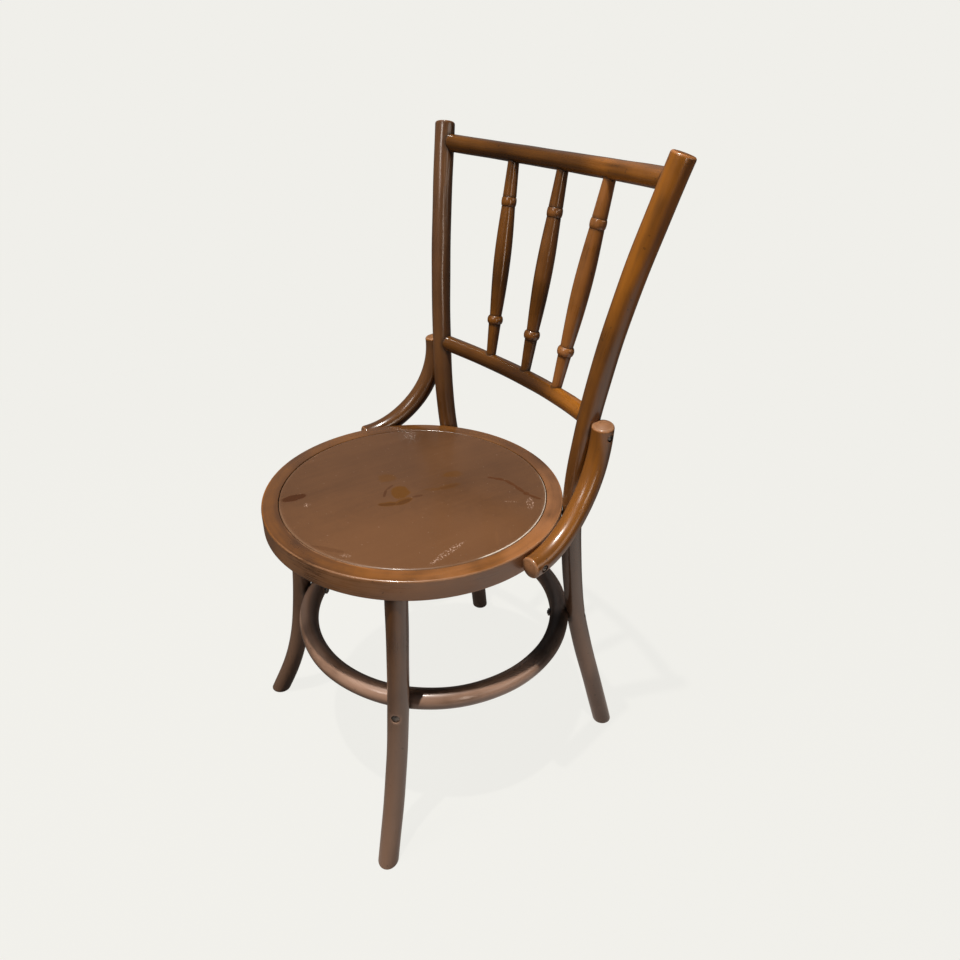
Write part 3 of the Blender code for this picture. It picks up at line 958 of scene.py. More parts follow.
class Graph:
    """The node tree of a material or a world, with one short call for each kind of node."""

    def __init__(self, owner: bpy.types.Material | bpy.types.World) -> None:
        """Turns on the owner's nodes, which start with a shader and an output.

        Args:
            owner: the material or world.
        """
        owner.use_nodes = True
        self.owner = owner
        self.tree = owner.node_tree

    def plug(self, target: Socket, value: object) -> None:
        """Links a socket to an input, or sets the input to a plain number, place or colour.

        Args:
            target: the input.
            value: another node's socket or a plain value.
        """
        if isinstance(value, Socket):
            self.tree.links.new(value, target)
        else:
            target.default_value = (*value, 1.0) if target.type == "RGBA" else value

    def add(self, kind: str, inputs: dict[str | int, object], **settings: object) -> bpy.types.Node:
        """Adds a node, sets it up and fills its inputs.

        Args:
            kind: node type without its ShaderNode prefix.
            inputs: sockets by name or number, each given another socket or a plain value.
            settings: properties of the node.

        Returns:
            The node.
        """
        node = self.tree.nodes.new(f"ShaderNode{kind}")
        for key, value in settings.items():
            setattr(node, key, value)
        for key, value in inputs.items():
            self.plug(node.inputs[key], value)
        return node

    def attribute(self, name: str, output: str = "Fac") -> Socket:
        """A mesh attribute, as a value or as a vector."""
        return self.add("Attribute", {}, attribute_name=name).outputs[output]

    def place(self, output: str = "Object") -> Socket:
        """Object coordinates, or another kind of place."""
        return self.add("TexCoord", {}).outputs[output]

    def vector(self, operation: str, a: Socket, b: Triple = (0, 0, 0), output: str = "Vector") -> Socket:
        """A Vector Math node on a socket and a place, read as a vector or as a value."""
        return self.add("VectorMath", {0: a, 1: b}, operation=operation).outputs[output]

    def noises(self, place: Socket, *kinds: Cells) -> list[Socket]:
        """Smooth noises around one half, drawn out along the first axis where their cells are.

        Args:
            place: places in metres.
            kinds: cells of each noise.

        Returns:
            The noises.
        """
        found = []
        for cells in kinds:
            scaled = self.vector("MULTIPLY", place, (cells.along, cells.across, cells.across))
            inputs = {"Vector": scaled, "Scale": 1.0, "Detail": cells.detail, "Roughness": cells.rough}
            found.append(self.add("TexNoise", inputs).outputs["Fac"])
        return found

    def step(self, value: Socket, span: Span, low: float = 0.0, high: float = 1.0) -> Socket:
        """Smooth step of a value, from low at the span's start to high at its end.

        Args:
            value: the value.
            span: where the step starts and ends.
            low: result before the step.
            high: result after it.

        Returns:
            The stepped value.
        """
        inputs = {"Value": value, "From Min": span[0], "From Max": span[1], "To Min": low, "To Max": high}
        return self.add("MapRange", inputs, interpolation_type="SMOOTHSTEP").outputs["Result"]

    def reckon(self, operation: str, a: object, b: object, clamp: bool = False) -> Socket:
        """A Math node on two sockets or numbers."""
        return self.add("Math", {0: a, 1: b}, operation=operation, use_clamp=clamp).outputs[0]

    def times(self, a: Socket, b: object) -> Socket:
        """A socket times another or times a number."""
        return self.reckon("MULTIPLY", a, b)

    def rest(self, value: Socket) -> Socket:
        """What a value lacks of one."""
        return self.reckon("SUBTRACT", 1.0, value)

    def total(self, *terms: tuple[Socket, float]) -> Socket:
        """Sum of sockets, each times a weight.

        Args:
            terms: pairs of socket and weight.

        Returns:
            The sum.
        """
        result: object = 0.0
        for socket, weight in terms:
            node = self.add("Math", {0: socket, 1: weight, 2: result}, operation="MULTIPLY_ADD")
            result = node.outputs[0]
        return result

    def mix(self, colour: object, other: object, factor: Socket, amount: float = 1.0) -> Socket:
        """A colour mixed with another.

        Args:
            colour: what shows where the factor is 0.
            other: what shows where the factor times the amount is 1.
            factor: how much of the other there is.
            amount: share of the factor that counts.

        Returns:
            The mixed colour.
        """
        share = factor if amount == 1.0 else self.times(factor, amount)
        return self.add("Mix", {0: share, 6: colour, 7: other}, data_type="RGBA").outputs[2]

    def bump(self, height: Socket, depth: float, strength: float) -> Socket:
        """Normals bent by a height field of a depth in metres."""
        return self.add("Bump", {"Height": height, "Distance": depth, "Strength": strength}).outputs[0]

    def feed(self, **values: object) -> bpy.types.Material:
        """Fills inputs of the material's shader.

        Args:
            values: sockets or plain values, by input name with underscores.

        Returns:
            The material.
        """
        shader = self.tree.nodes["Principled BSDF"]
        for key, value in values.items():
            self.plug(shader.inputs[key.replace("_", " ")], value)
        return self.owner

    def surface(self, seen: bpy.types.Node, lit: bpy.types.Node, output: str) -> None:
        """Ends the tree with one shader for what is seen directly and one for all other light.

        Args:
            seen: shader that is seen directly.
            lit: shader that lights the chair.
            output: name of the tree's output node.
        """
        direct = self.add("LightPath", {}).outputs["Is Camera Ray"]
        pick = self.add("MixShader", {0: direct, 1: lit.outputs[0], 2: seen.outputs[0]})
        self.plug(self.tree.nodes[output].inputs["Surface"], pick.outputs[0])


@dataclass(frozen=True)
class VarnishedWood:
    """Stained beech under old satin varnish, with streaks along the grain attribute.

    Tone is a mix of broad streaks, soft blotches and fine fibres. Short dark flecks are the pores.
    Heights and sideways places, in metres, bound the changes of tone: a film of dust greys all that
    is under the seat; the back is paler towards the sitter's left and more so at its crest, partly
    paler wood and partly painted light where the light falls stronger; and a painted sheen, a pale
    reflection painted into the colour, lies on it towards the right. Where the wear attribute is 1
    the stain is rubbed to a warmer, paler wood, rosy towards the sitter's left and scuffed grey near
    the floor, and at 2 the wood is worn through to raw wood; on the seat ring's rim and lip that is a
    painted highlight, and the rubbing on the spindles' bead crowns and the leg hoop's upper outside
    is partly painted light. Grime darkens corners; in the spindles' quirks it is painted shade, and
    on the leg hoop partly painted shade and the seat's painted shadow. Both thin the coat of varnish.
    """

    name: str
    pale: Colour
    deep: Colour
    worn: Colour = (0.285, 0.094, 0.007)
    rosy: Colour = (0.400, 0.172, 0.072)
    # Raw wood; on the seat ring's rim and lip this colour paints a highlight.
    bare_and_glint: Colour = (0.275, 0.138, 0.068)
    soot: Colour = (0.010, 0.006, 0.003)
    dust: Colour = (0.172, 0.106, 0.074)
    scuffed: Colour = (0.395, 0.256, 0.190)
    # Next: paler wood that is partly painted light where the light falls stronger, and a painted sheen, a
    # pale reflection.
    bleach_and_light: Colour = (0.320, 0.108, 0.008)
    bloom: Colour = (0.210, 0.110, 0.060)
    bands: Cells = Cells(6, 85, 3, 0.55)
    fibres: Cells = Cells(38, 760, 4, 0.6)
    pores: Cells = Cells(120, 1300, 1)
    blotches: Cells = Cells(11, 11, 3)
    clouds: Cells = Cells(3.4, 3.4)
    nicks: Cells = Cells(160, 160, 1)
    tone_span: Span = (0.50, 1.02)
    pore_span: Span = (0.60, 0.72)
    pore_amount: float = 0.07
    bleach_and_light_amount: float = 0.56
    bleach_and_light_aside: Span = (0.145, 0.205)
    bleach_and_light_heights: Span = (0.27, 0.48)
    bleach_and_light_span: Span = (0.35, 0.85)
    crest: float = 1.3
    crest_heights: Span = (0.66, 0.80)
    painted_sheen_amount: float = 0.20
    painted_sheen_aside: Span = (-0.10, -0.16)
    painted_sheen_heights: Span = (0.45, 0.62)
    dust_amount: float = 0.72
    dust_heights: Span = (0.15, 0.47)
    dust_span: Span = (0.15, 0.95)
    rubbed_amount: float = 0.80
    rubbed_span: Span = (0.36, 0.76)
    rosy_span: Span = (0.18, 0.36)
    bare_and_glint_span: Span = (0.3, 0.5)
    soil_amount: float = 0.82
    nick_amount: float = 0.4
    nick_span: Span = (0.735, 0.77)
    relief: float = 0.00030
    relief_strength: float = 0.25
    roughness: float = 0.30
    mean_shine: float = 0.16
    coat: float = 0.90
    coat_worn: float = 0.65
    coat_soiled: float = 0.85
    coat_roughness: float = 0.17
    specular: float = 0.33

    def make(self) -> bpy.types.Material:
        """Builds the material, one layer of colour over the other.

        Returns:
            The material.
        """
        graph = Graph(bpy.data.materials.new(self.name))
        grain, place = graph.attribute("grain", "Vector"), graph.place()
        bands, fibres, pores = graph.noises(grain, self.bands, self.fibres, self.pores)
        blotch, cloud, nicks = graph.noises(place, self.blotches, self.clouds, self.nicks)
        x, y, height = graph.add("SeparateXYZ", {0: place}).outputs
        # Stained wood with its pores.
        tone = graph.total((bands, 0.40), (blotch, 0.50), (cloud, 0.45), (fibres, 0.10))
        colour = graph.mix(self.deep, self.pale, graph.step(tone, self.tone_span))
        colour = graph.mix(colour, self.soot, graph.step(pores, self.pore_span), self.pore_amount)
        # Paler on one side, partly painted light, and a painted sheen on the other.
        crest = graph.step(height, self.crest_heights)
        above = graph.total((graph.step(height, self.bleach_and_light_heights), 1.0), (crest, self.crest))
        faded_and_lit = graph.times(graph.step(x, self.bleach_and_light_aside), above)
        patches = graph.total((blotch, 0.7), (bands, 0.6))
        faded_and_lit = graph.times(faded_and_lit, graph.step(patches, self.bleach_and_light_span))
        colour = graph.mix(colour, self.bleach_and_light, faded_and_lit, self.bleach_and_light_amount)
        # Painted sheen: a pale reflection painted into the colour towards the sitter's right.
        bloom = graph.times(graph.step(x, self.painted_sheen_aside), graph.step(height, self.painted_sheen_heights))
        colour = graph.mix(colour, self.bloom, bloom, self.painted_sheen_amount)
        # Dust under the seat.
        low = graph.rest(graph.step(height, self.dust_heights))
        film = graph.times(low, graph.step(graph.total((blotch, 1.0), (cloud, 0.5)), self.dust_span))
        colour = graph.mix(colour, self.dust, film, self.dust_amount)
        # Rubbed edges, and edges worn through to raw wood; on the seat ring's rim and lip that raw colour is
        # a painted highlight.
        edge = graph.attribute("wear")
        patches = graph.total((blotch, 0.9), (bands, 0.35))
        rubbed = graph.times(graph.reckon("MINIMUM", edge, 1.0), graph.step(patches, self.rubbed_span))
        toward = graph.total((x, 0.9), (y, 0.45), (blotch, 0.3))
        touched = graph.mix(self.worn, self.rosy, graph.step(toward, self.rosy_span))
        touched = graph.mix(touched, self.scuffed, low)
        colour = graph.mix(colour, touched, rubbed, self.rubbed_amount)
        patches = graph.total((blotch, 0.5), (fibres, 0.5))
        raw = graph.times(graph.step(edge, (1.0, 2.0)), graph.step(patches, self.bare_and_glint_span))
        colour = graph.mix(colour, self.bare_and_glint, raw)
        # Soil in the corners, painted shade in the spindles' quirks and inside the leg hoop, the seat's
        # painted shadow on the hoop, and nicks.
        soil = graph.attribute("grime_and_shade")
        colour = graph.mix(colour, self.soot, soil, self.soil_amount)
        nicks = graph.step(nicks, self.nick_span)
        colour = graph.mix(colour, self.soot, nicks, self.nick_amount)
        # Shine, relief and the coat.
        shine = graph.total((blotch, 0.22), (fibres, 0.10), (rubbed, 0.12), (soil, 0.30), (film, 0.05))
        relief = graph.total((fibres, 0.3), (bands, 0.8), (pores, -0.25), (nicks, -0.6))
        handled = graph.times(rubbed, graph.rest(low))
        thinned = graph.total((handled, -self.coat * self.coat_worn), (soil, -self.coat * self.coat_soiled))
        return graph.feed(
            Base_Color=colour,
            Roughness=graph.reckon("ADD", shine, self.roughness - self.mean_shine, clamp=True),
            Normal=graph.bump(relief, self.relief, self.relief_strength),
            Coat_Weight=graph.reckon("ADD", thinned, self.coat, clamp=True),
            Coat_Roughness=self.coat_roughness,
            Specular_IOR_Level=self.specular,
        )


@dataclass(frozen=True)
class Stain:
    """A mark on the seat: a turned ellipse with a ragged edge, in metres from the seat's centre."""

    x: float
    y: float
    half_length: float
    half_width: float
    degrees: float
    strength: float
    ragged: float = 0.35
    soft: float = 0.26
    edge: float = 0.95

    def mask(self, graph: Graph, place: Socket, frays: Socket) -> Socket:
        """Mask of the mark: its strength inside the ellipse, falling off at a ragged edge.

        Args:
            graph: the material's nodes.
            place: seat-centred coordinates.
            frays: noise that frays the edge.

        Returns:
            The mask.
        """
        inputs = {
            "Vector": place,
            "Location": (self.x, self.y, 0),
            "Rotation": (0, 0, math.radians(self.degrees)),
            "Scale": (self.half_length, self.half_width, 1),
        }
        turned_place = graph.add("Mapping", inputs, vector_type="TEXTURE").outputs[0]
        length = graph.vector("LENGTH", graph.vector("MULTIPLY", turned_place, (1, 1, 0)), output="Value")
        frayed = graph.total((frays, 2 * self.ragged), (length, 1.0))
        rim, half = self.edge + self.ragged, self.soft / 2
        return graph.times(graph.rest(graph.step(frayed, (rim - half, rim + half))), self.strength)


@dataclass(frozen=True)
class SeatVeneer:
    """Varnished plywood seat with its stains, one crack in the face veneer, rubs and scuffs.

    The varnish has a pale milky film, thicker in the veils. Ambers are spots where that film is wet
    through, and stains are darker. The crack runs through its places, and each stretch of it has a
    width. Where the wear attribute is 1 the edge is thin, and from there to 1.7 it turns pale: a
    painted highlight along the edge.
    """

    name: str
    pale: Colour = (0.118, 0.053, 0.0225)
    deep: Colour = (0.076, 0.034, 0.0148)
    amber: Colour = (0.105, 0.038, 0.003)
    stain: Colour = (0.052, 0.014, 0.001)
    crack: Colour = (0.078, 0.024, 0.004)
    soot: Colour = (0.010, 0.005, 0.002)
    rub: Colour = (0.50, 0.34, 0.26)
    veil: Colour = (0.165, 0.071, 0.027)
    edge: Colour = (0.19, 0.11, 0.065)
    # Pale colour of the highlight painted along the panel's edge.
    bared: Colour = (0.62, 0.54, 0.46)
    frays: Cells = Cells(95, 95, 4, 0.62)
    figure: Cells = Cells(2.5, 22, 4, 0.6)
    fibres: Cells = Cells(14, 420, 3, 0.6)
    clouds: Cells = Cells(9, 9, 3)
    specks: Cells = Cells(420, 420, 2, 0.6)
    strays: Cells = Cells(260, 260, 1)
    tone_span: Span = (0.38, 0.98)
    speck_span: Span = (0.53, 0.62)
    stray_span: Span = (0.74, 0.78)
    stray_amount: float = 0.3
    rub_amount: float = 0.75
    edge_span: Span = (0.28, 0.50)
    edge_amount: float = 0.85
    painted_glint_span: Span = (1.0, 1.7)
    soil_amount: float = 0.85
    relief: float = 0.0004
    relief_strength: float = 0.3
    roughness: float = 0.34
    mean_shine: float = 0.12
    coat: float = 0.20
    coat_roughness: float = 0.14
    specular: float = 0.25
    stains: tuple[Stain, ...] = (
        Stain(-0.0700, -0.1480, 0.0175, 0.0080, 84, 0.95, 0.25),
        Stain(0.0150, -0.0500, 0.0130, 0.0036, 64, 0.48, 0.5),
        Stain(0.0213, -0.0300, 0.0130, 0.0042, 94, 0.48, 0.5),
        Stain(0.0187, -0.0060, 0.0085, 0.0028, 79, 0.50, 0.4),
        Stain(-0.0119, -0.0400, 0.0105, 0.0022, 142, 0.60, 0.4),
        Stain(-0.0225, -0.0270, 0.0090, 0.0020, 114, 0.50, 0.4),
        Stain(0.0212, 0.0440, 0.0150, 0.0032, 83, 0.22, 0.5, 0.5),
        Stain(0.0600, -0.1640, 0.0040, 0.0300, -50, 0.25, 0.6),
    )
    ambers: tuple[Stain, ...] = (
        Stain(-0.0039, -0.0209, 0.0175, 0.0130, -30, 0.95, 0.35),
        Stain(0.0150, -0.0490, 0.0140, 0.0058, 64, 0.80, 0.4),
        Stain(0.0200, -0.0300, 0.0150, 0.0068, 94, 0.80, 0.4),
        Stain(0.0150, 0.0210, 0.0130, 0.0034, 60, 0.40, 0.5, 0.4),
        Stain(0.0205, 0.0440, 0.0180, 0.0062, 83, 0.35, 0.5, 0.5),
        Stain(-0.0050, 0.0669, 0.0150, 0.0090, 70, 0.50, 0.6, 0.5),
        Stain(-0.0475, -0.0171, 0.0130, 0.0110, 60, 0.50, 0.6, 0.5),
    )
    rubs: tuple[Stain, ...] = (
        Stain(0.1512, -0.0455, 0.0360, 0.0045, 106, 0.9),
        Stain(0.1190, 0.1110, 0.0170, 0.0050, -39, 0.8),
        Stain(0.1005, 0.0915, 0.0100, 0.0012, 48, 0.8),
        Stain(0.0875, -0.1490, 0.0080, 0.0045, 40, 0.6),
        Stain(-0.0436, -0.1403, 0.0050, 0.0055, 40, 0.9),
    )
    veils: tuple[Stain, ...] = (
        Stain(0.1575, 0.0263, 0.0230, 0.0028, -33, 0.65, 0.5, 0.8),
        Stain(0.1600, 0.0450, 0.0150, 0.0026, -33, 0.60, 0.5, 0.8),
        Stain(0.1300, -0.0500, 0.2200, 0.1100, 54, 0.52, 0.3, 1.3),
    )
    crack_places: tuple[Place, ...] = (
        (0.0304, 0.1047),
        (0.0370, 0.1102),
        (0.0502, 0.1198),
        (0.0712, 0.1222),
        (0.0914, 0.1218),
        (0.0997, 0.1231),
        (0.1177, 0.1290),
    )
    crack_widths: tuple[float, ...] = (0.0050, 0.0066, 0.0060, 0.0068, 0.0090, 0.0056)
    crack_overlap: float = 0.62
    crack_strength: float = 0.9
    crack_ragged: float = 0.4

    def crack_runs(self) -> tuple[Stain, ...]:
        """The crack as long thin ellipses that overlap, from each of its places to the next.

        Returns:
            One mark for each stretch.
        """
        runs = []
        for (x0, y0), (x1, y1), width in zip(self.crack_places, self.crack_places[1:], self.crack_widths):
            half = self.crack_overlap * math.hypot(x1 - x0, y1 - y0)
            degrees = math.degrees(math.atan2(y1 - y0, x1 - x0))
            middle = ((x0 + x1) / 2, (y0 + y1) / 2)
            runs.append(Stain(*middle, half, width / 2, degrees, self.crack_strength, self.crack_ragged))
        return tuple(runs)

    def make(self) -> bpy.types.Material:
        """Builds the material, one layer of colour over the other.

        Returns:
            The material.
        """
        graph = Graph(bpy.data.materials.new(self.name))
        grain = graph.attribute("grain", "Vector")
        centred = graph.vector("ADD", graph.place(), (0, -SIZES.setback, 0))
        figure, fibres = graph.noises(grain, self.figure, self.fibres)
        frays, cloud = graph.noises(centred, self.frays, self.clouds)
        specks, strays = graph.noises(centred, self.specks, self.strays)

        def strongest(marks: tuple[Stain, ...]) -> Socket:
            """The strongest mask of several marks.

            Args:
                marks: the marks.

            Returns:
                The mask.
            """
            result = marks[0].mask(graph, centred, frays)
            for mark in marks[1:]:
                result = graph.reckon("MAXIMUM", result, mark.mask(graph, centred, frays))
            return result

        # Veneer under its milky film, with spots, stains and the crack.
        tone = graph.total((figure, 0.5), (cloud, 0.6), (fibres, 0.25))
        colour = graph.mix(self.deep, self.pale, graph.step(tone, self.tone_span))
        veil, amber, stain, crack = map(strongest, (self.veils, self.ambers, self.stains, self.crack_runs()))
        for mask, tint in ((veil, self.veil), (amber, self.amber), (stain, self.stain), (crack, self.crack)):
            colour = graph.mix(colour, tint, mask)
        # Rubs and stray scuffs.
        rub = graph.times(strongest(self.rubs), graph.step(specks, self.speck_span))
        stray = graph.times(graph.step(strays, self.stray_span), self.stray_amount)
        rub = graph.reckon("MAXIMUM", rub, stray)
        colour = graph.mix(colour, self.rub, rub, self.rub_amount)
        # Thin edges, turning pale where a highlight is painted along them, and the panel darker below its
        # top.
        thin = graph.attribute("wear")
        edge = graph.reckon("MULTIPLY", thin, graph.step(cloud, self.edge_span), clamp=True)
        colour = graph.mix(colour, self.edge, edge, self.edge_amount)
        # Painted highlight: past 1 the edge turns pale.
        colour = graph.mix(colour, self.bared, graph.step(thin, self.painted_glint_span))
        colour = graph.mix(colour, self.soot, graph.attribute("grime_and_shade"), self.soil_amount)
        # Shine, relief and the coat.
        shine = ((cloud, 0.16), (fibres, 0.08), (stain, -0.08), (rub, 0.3), (veil, 0.15), (edge, -0.12))
        relief = graph.total((fibres, 0.3), (figure, 0.8), (crack, -1.5), (rub, -0.3))
        return graph.feed(
            Base_Color=colour,
            Roughness=graph.reckon("ADD", graph.total(*shine), self.roughness - self.mean_shine, clamp=True),
            Normal=graph.bump(relief, self.relief, self.relief_strength),
            Coat_Weight=self.coat,
            Coat_Roughness=self.coat_roughness,
            Specular_IOR_Level=self.specular,
        )


@dataclass(frozen=True)
class DullSteel:
    """Old dark steel with rust in its hollows and rubbed crowns."""

    name: str
    bright: Colour = (0.340, 0.315, 0.290)
    dark: Colour = (0.045, 0.038, 0.033)
    rust: Colour = (0.090, 0.035, 0.014)
    coarse: Cells = Cells(240, 240, 3, 0.6)
    fine: Cells = Cells(1100, 1100, 3, 0.6)
    bright_span: Span = (0.36, 0.66)
    rust_span: Span = (0.50, 0.68)
    rust_amount: float = 0.7
    relief: float = 0.0002
    relief_strength: float = 0.4
    metallic: float = 0.85

    def make(self) -> bpy.types.Material:
        """Builds the material.

        Returns:
            The material.
        """
        graph = Graph(bpy.data.materials.new(self.name))
        coarse, fine = graph.noises(graph.place(), self.coarse, self.fine)
        rubbed = graph.step(graph.total((coarse, 0.7), (fine, 0.3)), self.bright_span)
        rusty = graph.times(graph.step(coarse, self.rust_span), self.rust_amount)
        return graph.feed(
            Base_Color=graph.mix(graph.mix(self.dark, self.bright, rubbed), self.rust, rusty),
            Roughness=graph.total((fine, 0.3), (rusty, 0.3), (coarse, 0.4)),
            Normal=graph.bump(fine, self.relief, self.relief_strength),
            Metallic=self.metallic,
        )


@dataclass
class Axes:
    """Centre lines of the legs and posts, as the solids have them."""

    front_ring_angle: float = -37.7
    front_ring_inset: float = 0.0174
    front_hoop_angle: float = -45.0
    front_ankle: Place = (0.0232, -0.0322)
    front_foot: Place = (0.0450, -0.0571)
    rear_ring_angle: float = 46.1
    rear_hoop_angle: float = 49.7
    rear_foot: Place = (0.0274, 0.0917)
    rear_ankle: Place = (0.0140, 0.0733)
    under_seat: Place = (-0.0091, 0.0198)
    under_seat_drop: float = 0.120
    lower_rail: Place = (0.0164, -0.0032)
    mid_back: Place = (0.0412, 0.0135)
    mid_back_rise: float = 0.300
    post_top: Place = (0.0688, 0.0388)
    count: int = 1600

    @staticmethod
    def splayed(root: Array, splay: Place, height: float) -> Array:
        """A rod's place at a height, moved in plan from its root on the ring."""
        return np.array([root[0] + splay[0], root[1] + splay[1], height])

    def leg(self, side: Side) -> Path:
        """Centre line of a front leg.

        Args:
            side: which leg.

        Returns:
            The path, from the floor to the underside of the ring.
        """
        s = SIZES
        root = around(s.ring_radius - self.front_ring_inset, self.front_ring_angle, s.ring_bottom)
        stations = np.array([
            self.splayed(root, self.front_foot, 0),
            self.splayed(root, self.front_ankle, s.ankle_height),
            around(s.leg_at_hoop, self.front_hoop_angle, s.hoop_height, s.hoop_setback),
            root,
        ])
        heights = np.linspace(0, s.ring_bottom - s.gap, self.count)
        return Path(mirrored(height_spline(stations, heights), side))

    def post(self, side: Side) -> Path:
        """Centre line of a back post.

        Args:
            side: which post.

        Returns:
            The path, from the floor to the post's end.
        """
        s = SIZES
        root = around(s.ring_radius + s.rod_radius - s.ring_housing, self.rear_ring_angle, s.ring_middle)
        stations = np.array([
            self.splayed(root, self.rear_foot, 0),
            self.splayed(root, self.rear_ankle, s.ankle_height),
            around(s.leg_at_hoop, self.rear_hoop_angle, s.hoop_height, s.hoop_setback),
            self.splayed(root, self.under_seat, s.seat_height - self.under_seat_drop),
            root,
            self.splayed(root, self.lower_rail, s.lower_rail_height),
            self.splayed(root, self.mid_back, s.seat_height + self.mid_back_rise),
            self.splayed(root, self.post_top, s.post_height),
        ])
        return Path(mirrored(height_spline(stations, np.linspace(0, s.post_height, self.count)), side))


@dataclass
class Fastener:
    """Sizes of the bolts, nuts and screws, and their skins."""

    bolt_radius: float = 0.0030
    tip_length: float = 0.0004
    tip_shares: Place = (0.4, 0.86)
    head_radius: float = 0.0055
    head_height: float = 0.0022
    head_edge: float = 0.0003
    head_face_share: float = 0.97
    recess_depth: float = 0.0034
    end_past_nut: float = 0.0015
    nut_across_flats: float = 0.010
    nut_height: float = 0.0045
    nut_chamfer: float = 0.0006
    nut_face_share: float = 0.985
    thread_pitch: float = 0.0010
    thread_depth: float = 0.00030
    thread_length: float = 0.014
    thread_run_out: float = 0.001
    thread_rows: int = 8
    screw_head_radius: float = 0.0043
    screw_head_height: float = 0.0024
    screw_dome_power: float = 0.8
    screw_recess_depth: float = 0.0030
    screw_radius: float = 0.0020
    screw_bite: float = 0.014
    screw_tip_share: float = 0.08
    screw_rows: int = 40
    screw_columns: int = 16
    slot_width: float = 0.0010
    slot_depth: float = 0.0012
    slot_floor_share: float = 0.98
    slot_lean: float = 0.55
    soil: float = 0.3
    columns: int = 48

    def bolt_skin(self, centre: Array, inward: Array, to_nut: float) -> Skin:
        """A bolt with a domed head, and a thread that winds as radius over height and angle.

        Args:
            centre: where the bolt crosses the rod's axis.
            inward: unit direction from head to nut.
            to_nut: distance from the centre to the nut's face.

        Returns:
            The skin.
        """
        seat = centre - inward * (SIZES.rod_radius - self.recess_depth + SIZES.gap)
        length = to_nut + SIZES.rod_radius - self.recess_depth + self.nut_height + self.end_past_nut
        steps = math.ceil(self.thread_length / self.thread_pitch * self.thread_rows)
        thread = np.linspace(-length, self.thread_length - length, steps)
        shank = np.stack([np.full(steps, self.bolt_radius), thread], axis=-1)
        tip = np.array([[share * self.bolt_radius, -length - self.tip_length] for share in self.tip_shares])
        collar = np.array([[self.bolt_radius, 0.0], [self.head_radius * self.head_face_share, 0.0]])
        dome = arc((0, self.head_edge), (self.head_radius, self.head_height - self.head_edge), 0, 88, 12)
        profile = np.vstack([tip, shank, collar, dome])
        skin = turned(profile, seat, -inward, self.columns, self.soil)
        angle = circle(self.columns)
        wind = (thread[:, None] / self.thread_pitch - angle / FULL_TURN) % 1.0
        run_out = smooth((self.thread_length - length - thread[:, None]) / self.thread_run_out)
        groove = self.thread_depth * (1 - abs(2 * wind - 1)) * run_out
        rows = np.s_[len(tip) : len(tip) + steps]
        axis_points = seat + thread[:, None, None] * -inward
        skin.points[rows] -= unit(skin.points[rows] - axis_points) * groove[..., None]
        return skin

    def nut_skin(self, face: Array, inward: Array) -> Skin:
        """A six sided nut: the radius follows the hexagon on the flats and a circle at the chamfers.

        Args:
            face: where the nut's face crosses the bolt's axis.
            inward: unit direction away from that face.

        Returns:
            The skin, whose rows join up through the bore.
        """
        flat, top = self.nut_across_flats / 2, self.nut_height
        angle = circle(self.columns)
        sixth = math.pi / 3
        hexagon = flat / np.cos((angle + sixth / 2) % sixth - sixth / 2)
        round_edge = np.minimum(hexagon, flat * self.nut_face_share)
        bore = np.full_like(angle, self.bolt_radius)
        rings = np.stack([bore, round_edge, hexagon, hexagon, round_edge, bore])
        heights = np.array([0, 0, self.nut_chamfer, top - self.nut_chamfer, top, top]) + SIZES.gap
        guide, side = square_to(inward)
        across = rings[..., None] * (np.cos(angle)[:, None] * guide + np.sin(angle)[:, None] * side)
        points = face + heights[:, None, None] * inward + across
        grain = np.concatenate([points, points[:1]])
        return Skin(points, grain, np.zeros_like(rings), np.full_like(rings, self.soil))

    def screw_skins(self, centre: Array, inward: Array) -> list[Skin]:
        """A slotted round head and its shank.

        The head is cut in slices across the slot. Each slice runs over the dome and back under it,
        and the slices between the slot's walls run lower.

        Args:
            centre: where the screw crosses the rod's axis.
            inward: unit direction from head to tip.

        Returns:
            The head's skin and the shank's.
        """
        seat = centre - inward * (SIZES.rod_radius - self.screw_recess_depth + SIZES.gap)
        size, half = self.screw_head_radius, self.slot_width / 2
        wing = size * np.sin(np.linspace(-math.pi / 2, 0, 12)[1:-1]) - half
        wing = wing[wing < -half]
        floor = half * self.slot_floor_share
        places = np.concatenate([wing, [-half, -floor, floor, half], -wing[::-1]])
        sunk = abs(places) < (half + floor) / 2
        reach = np.sqrt(np.maximum(size**2 - places**2, 0))[:, None]
        over = reach * np.cos(np.linspace(math.pi, 0, 17))
        radius = np.hypot(places[:, None], over) / size
        rise = self.screw_head_height * np.sqrt(np.clip(1 - radius**2, 0, 1)) ** self.screw_dome_power
        rise = np.where(sunk[:, None], np.maximum(rise - self.slot_depth, 0), rise)
        across = np.concatenate([over, over[:, -2:0:-1]], axis=1)
        height = np.concatenate([rise, np.zeros_like(rise[:, -2:0:-1])], axis=1)
        guide, aside = square_to(inward)
        turn = unit(guide + self.slot_lean * aside)
        other = np.cross(-inward, turn)
        points = seat + places[:, None, None] * turn + across[..., None] * other - height[..., None] * inward
        points = points[:, ::-1]
        poles = (seat - size * turn, seat + size * turn)
        head = Skin(points, points, np.zeros_like(height), np.full_like(height, self.soil), poles)
        length = 2 * SIZES.rod_radius - self.screw_recess_depth + self.screw_bite
        drop = np.linspace(-length, 0, self.screw_rows)
        taper = np.clip((drop + length) / (2 * self.screw_radius) + self.screw_tip_share, 0, 1)
        profile = np.stack([self.screw_radius * taper, drop], axis=-1)
        return [head, turned(profile, seat, -inward, self.screw_columns, self.soil)]


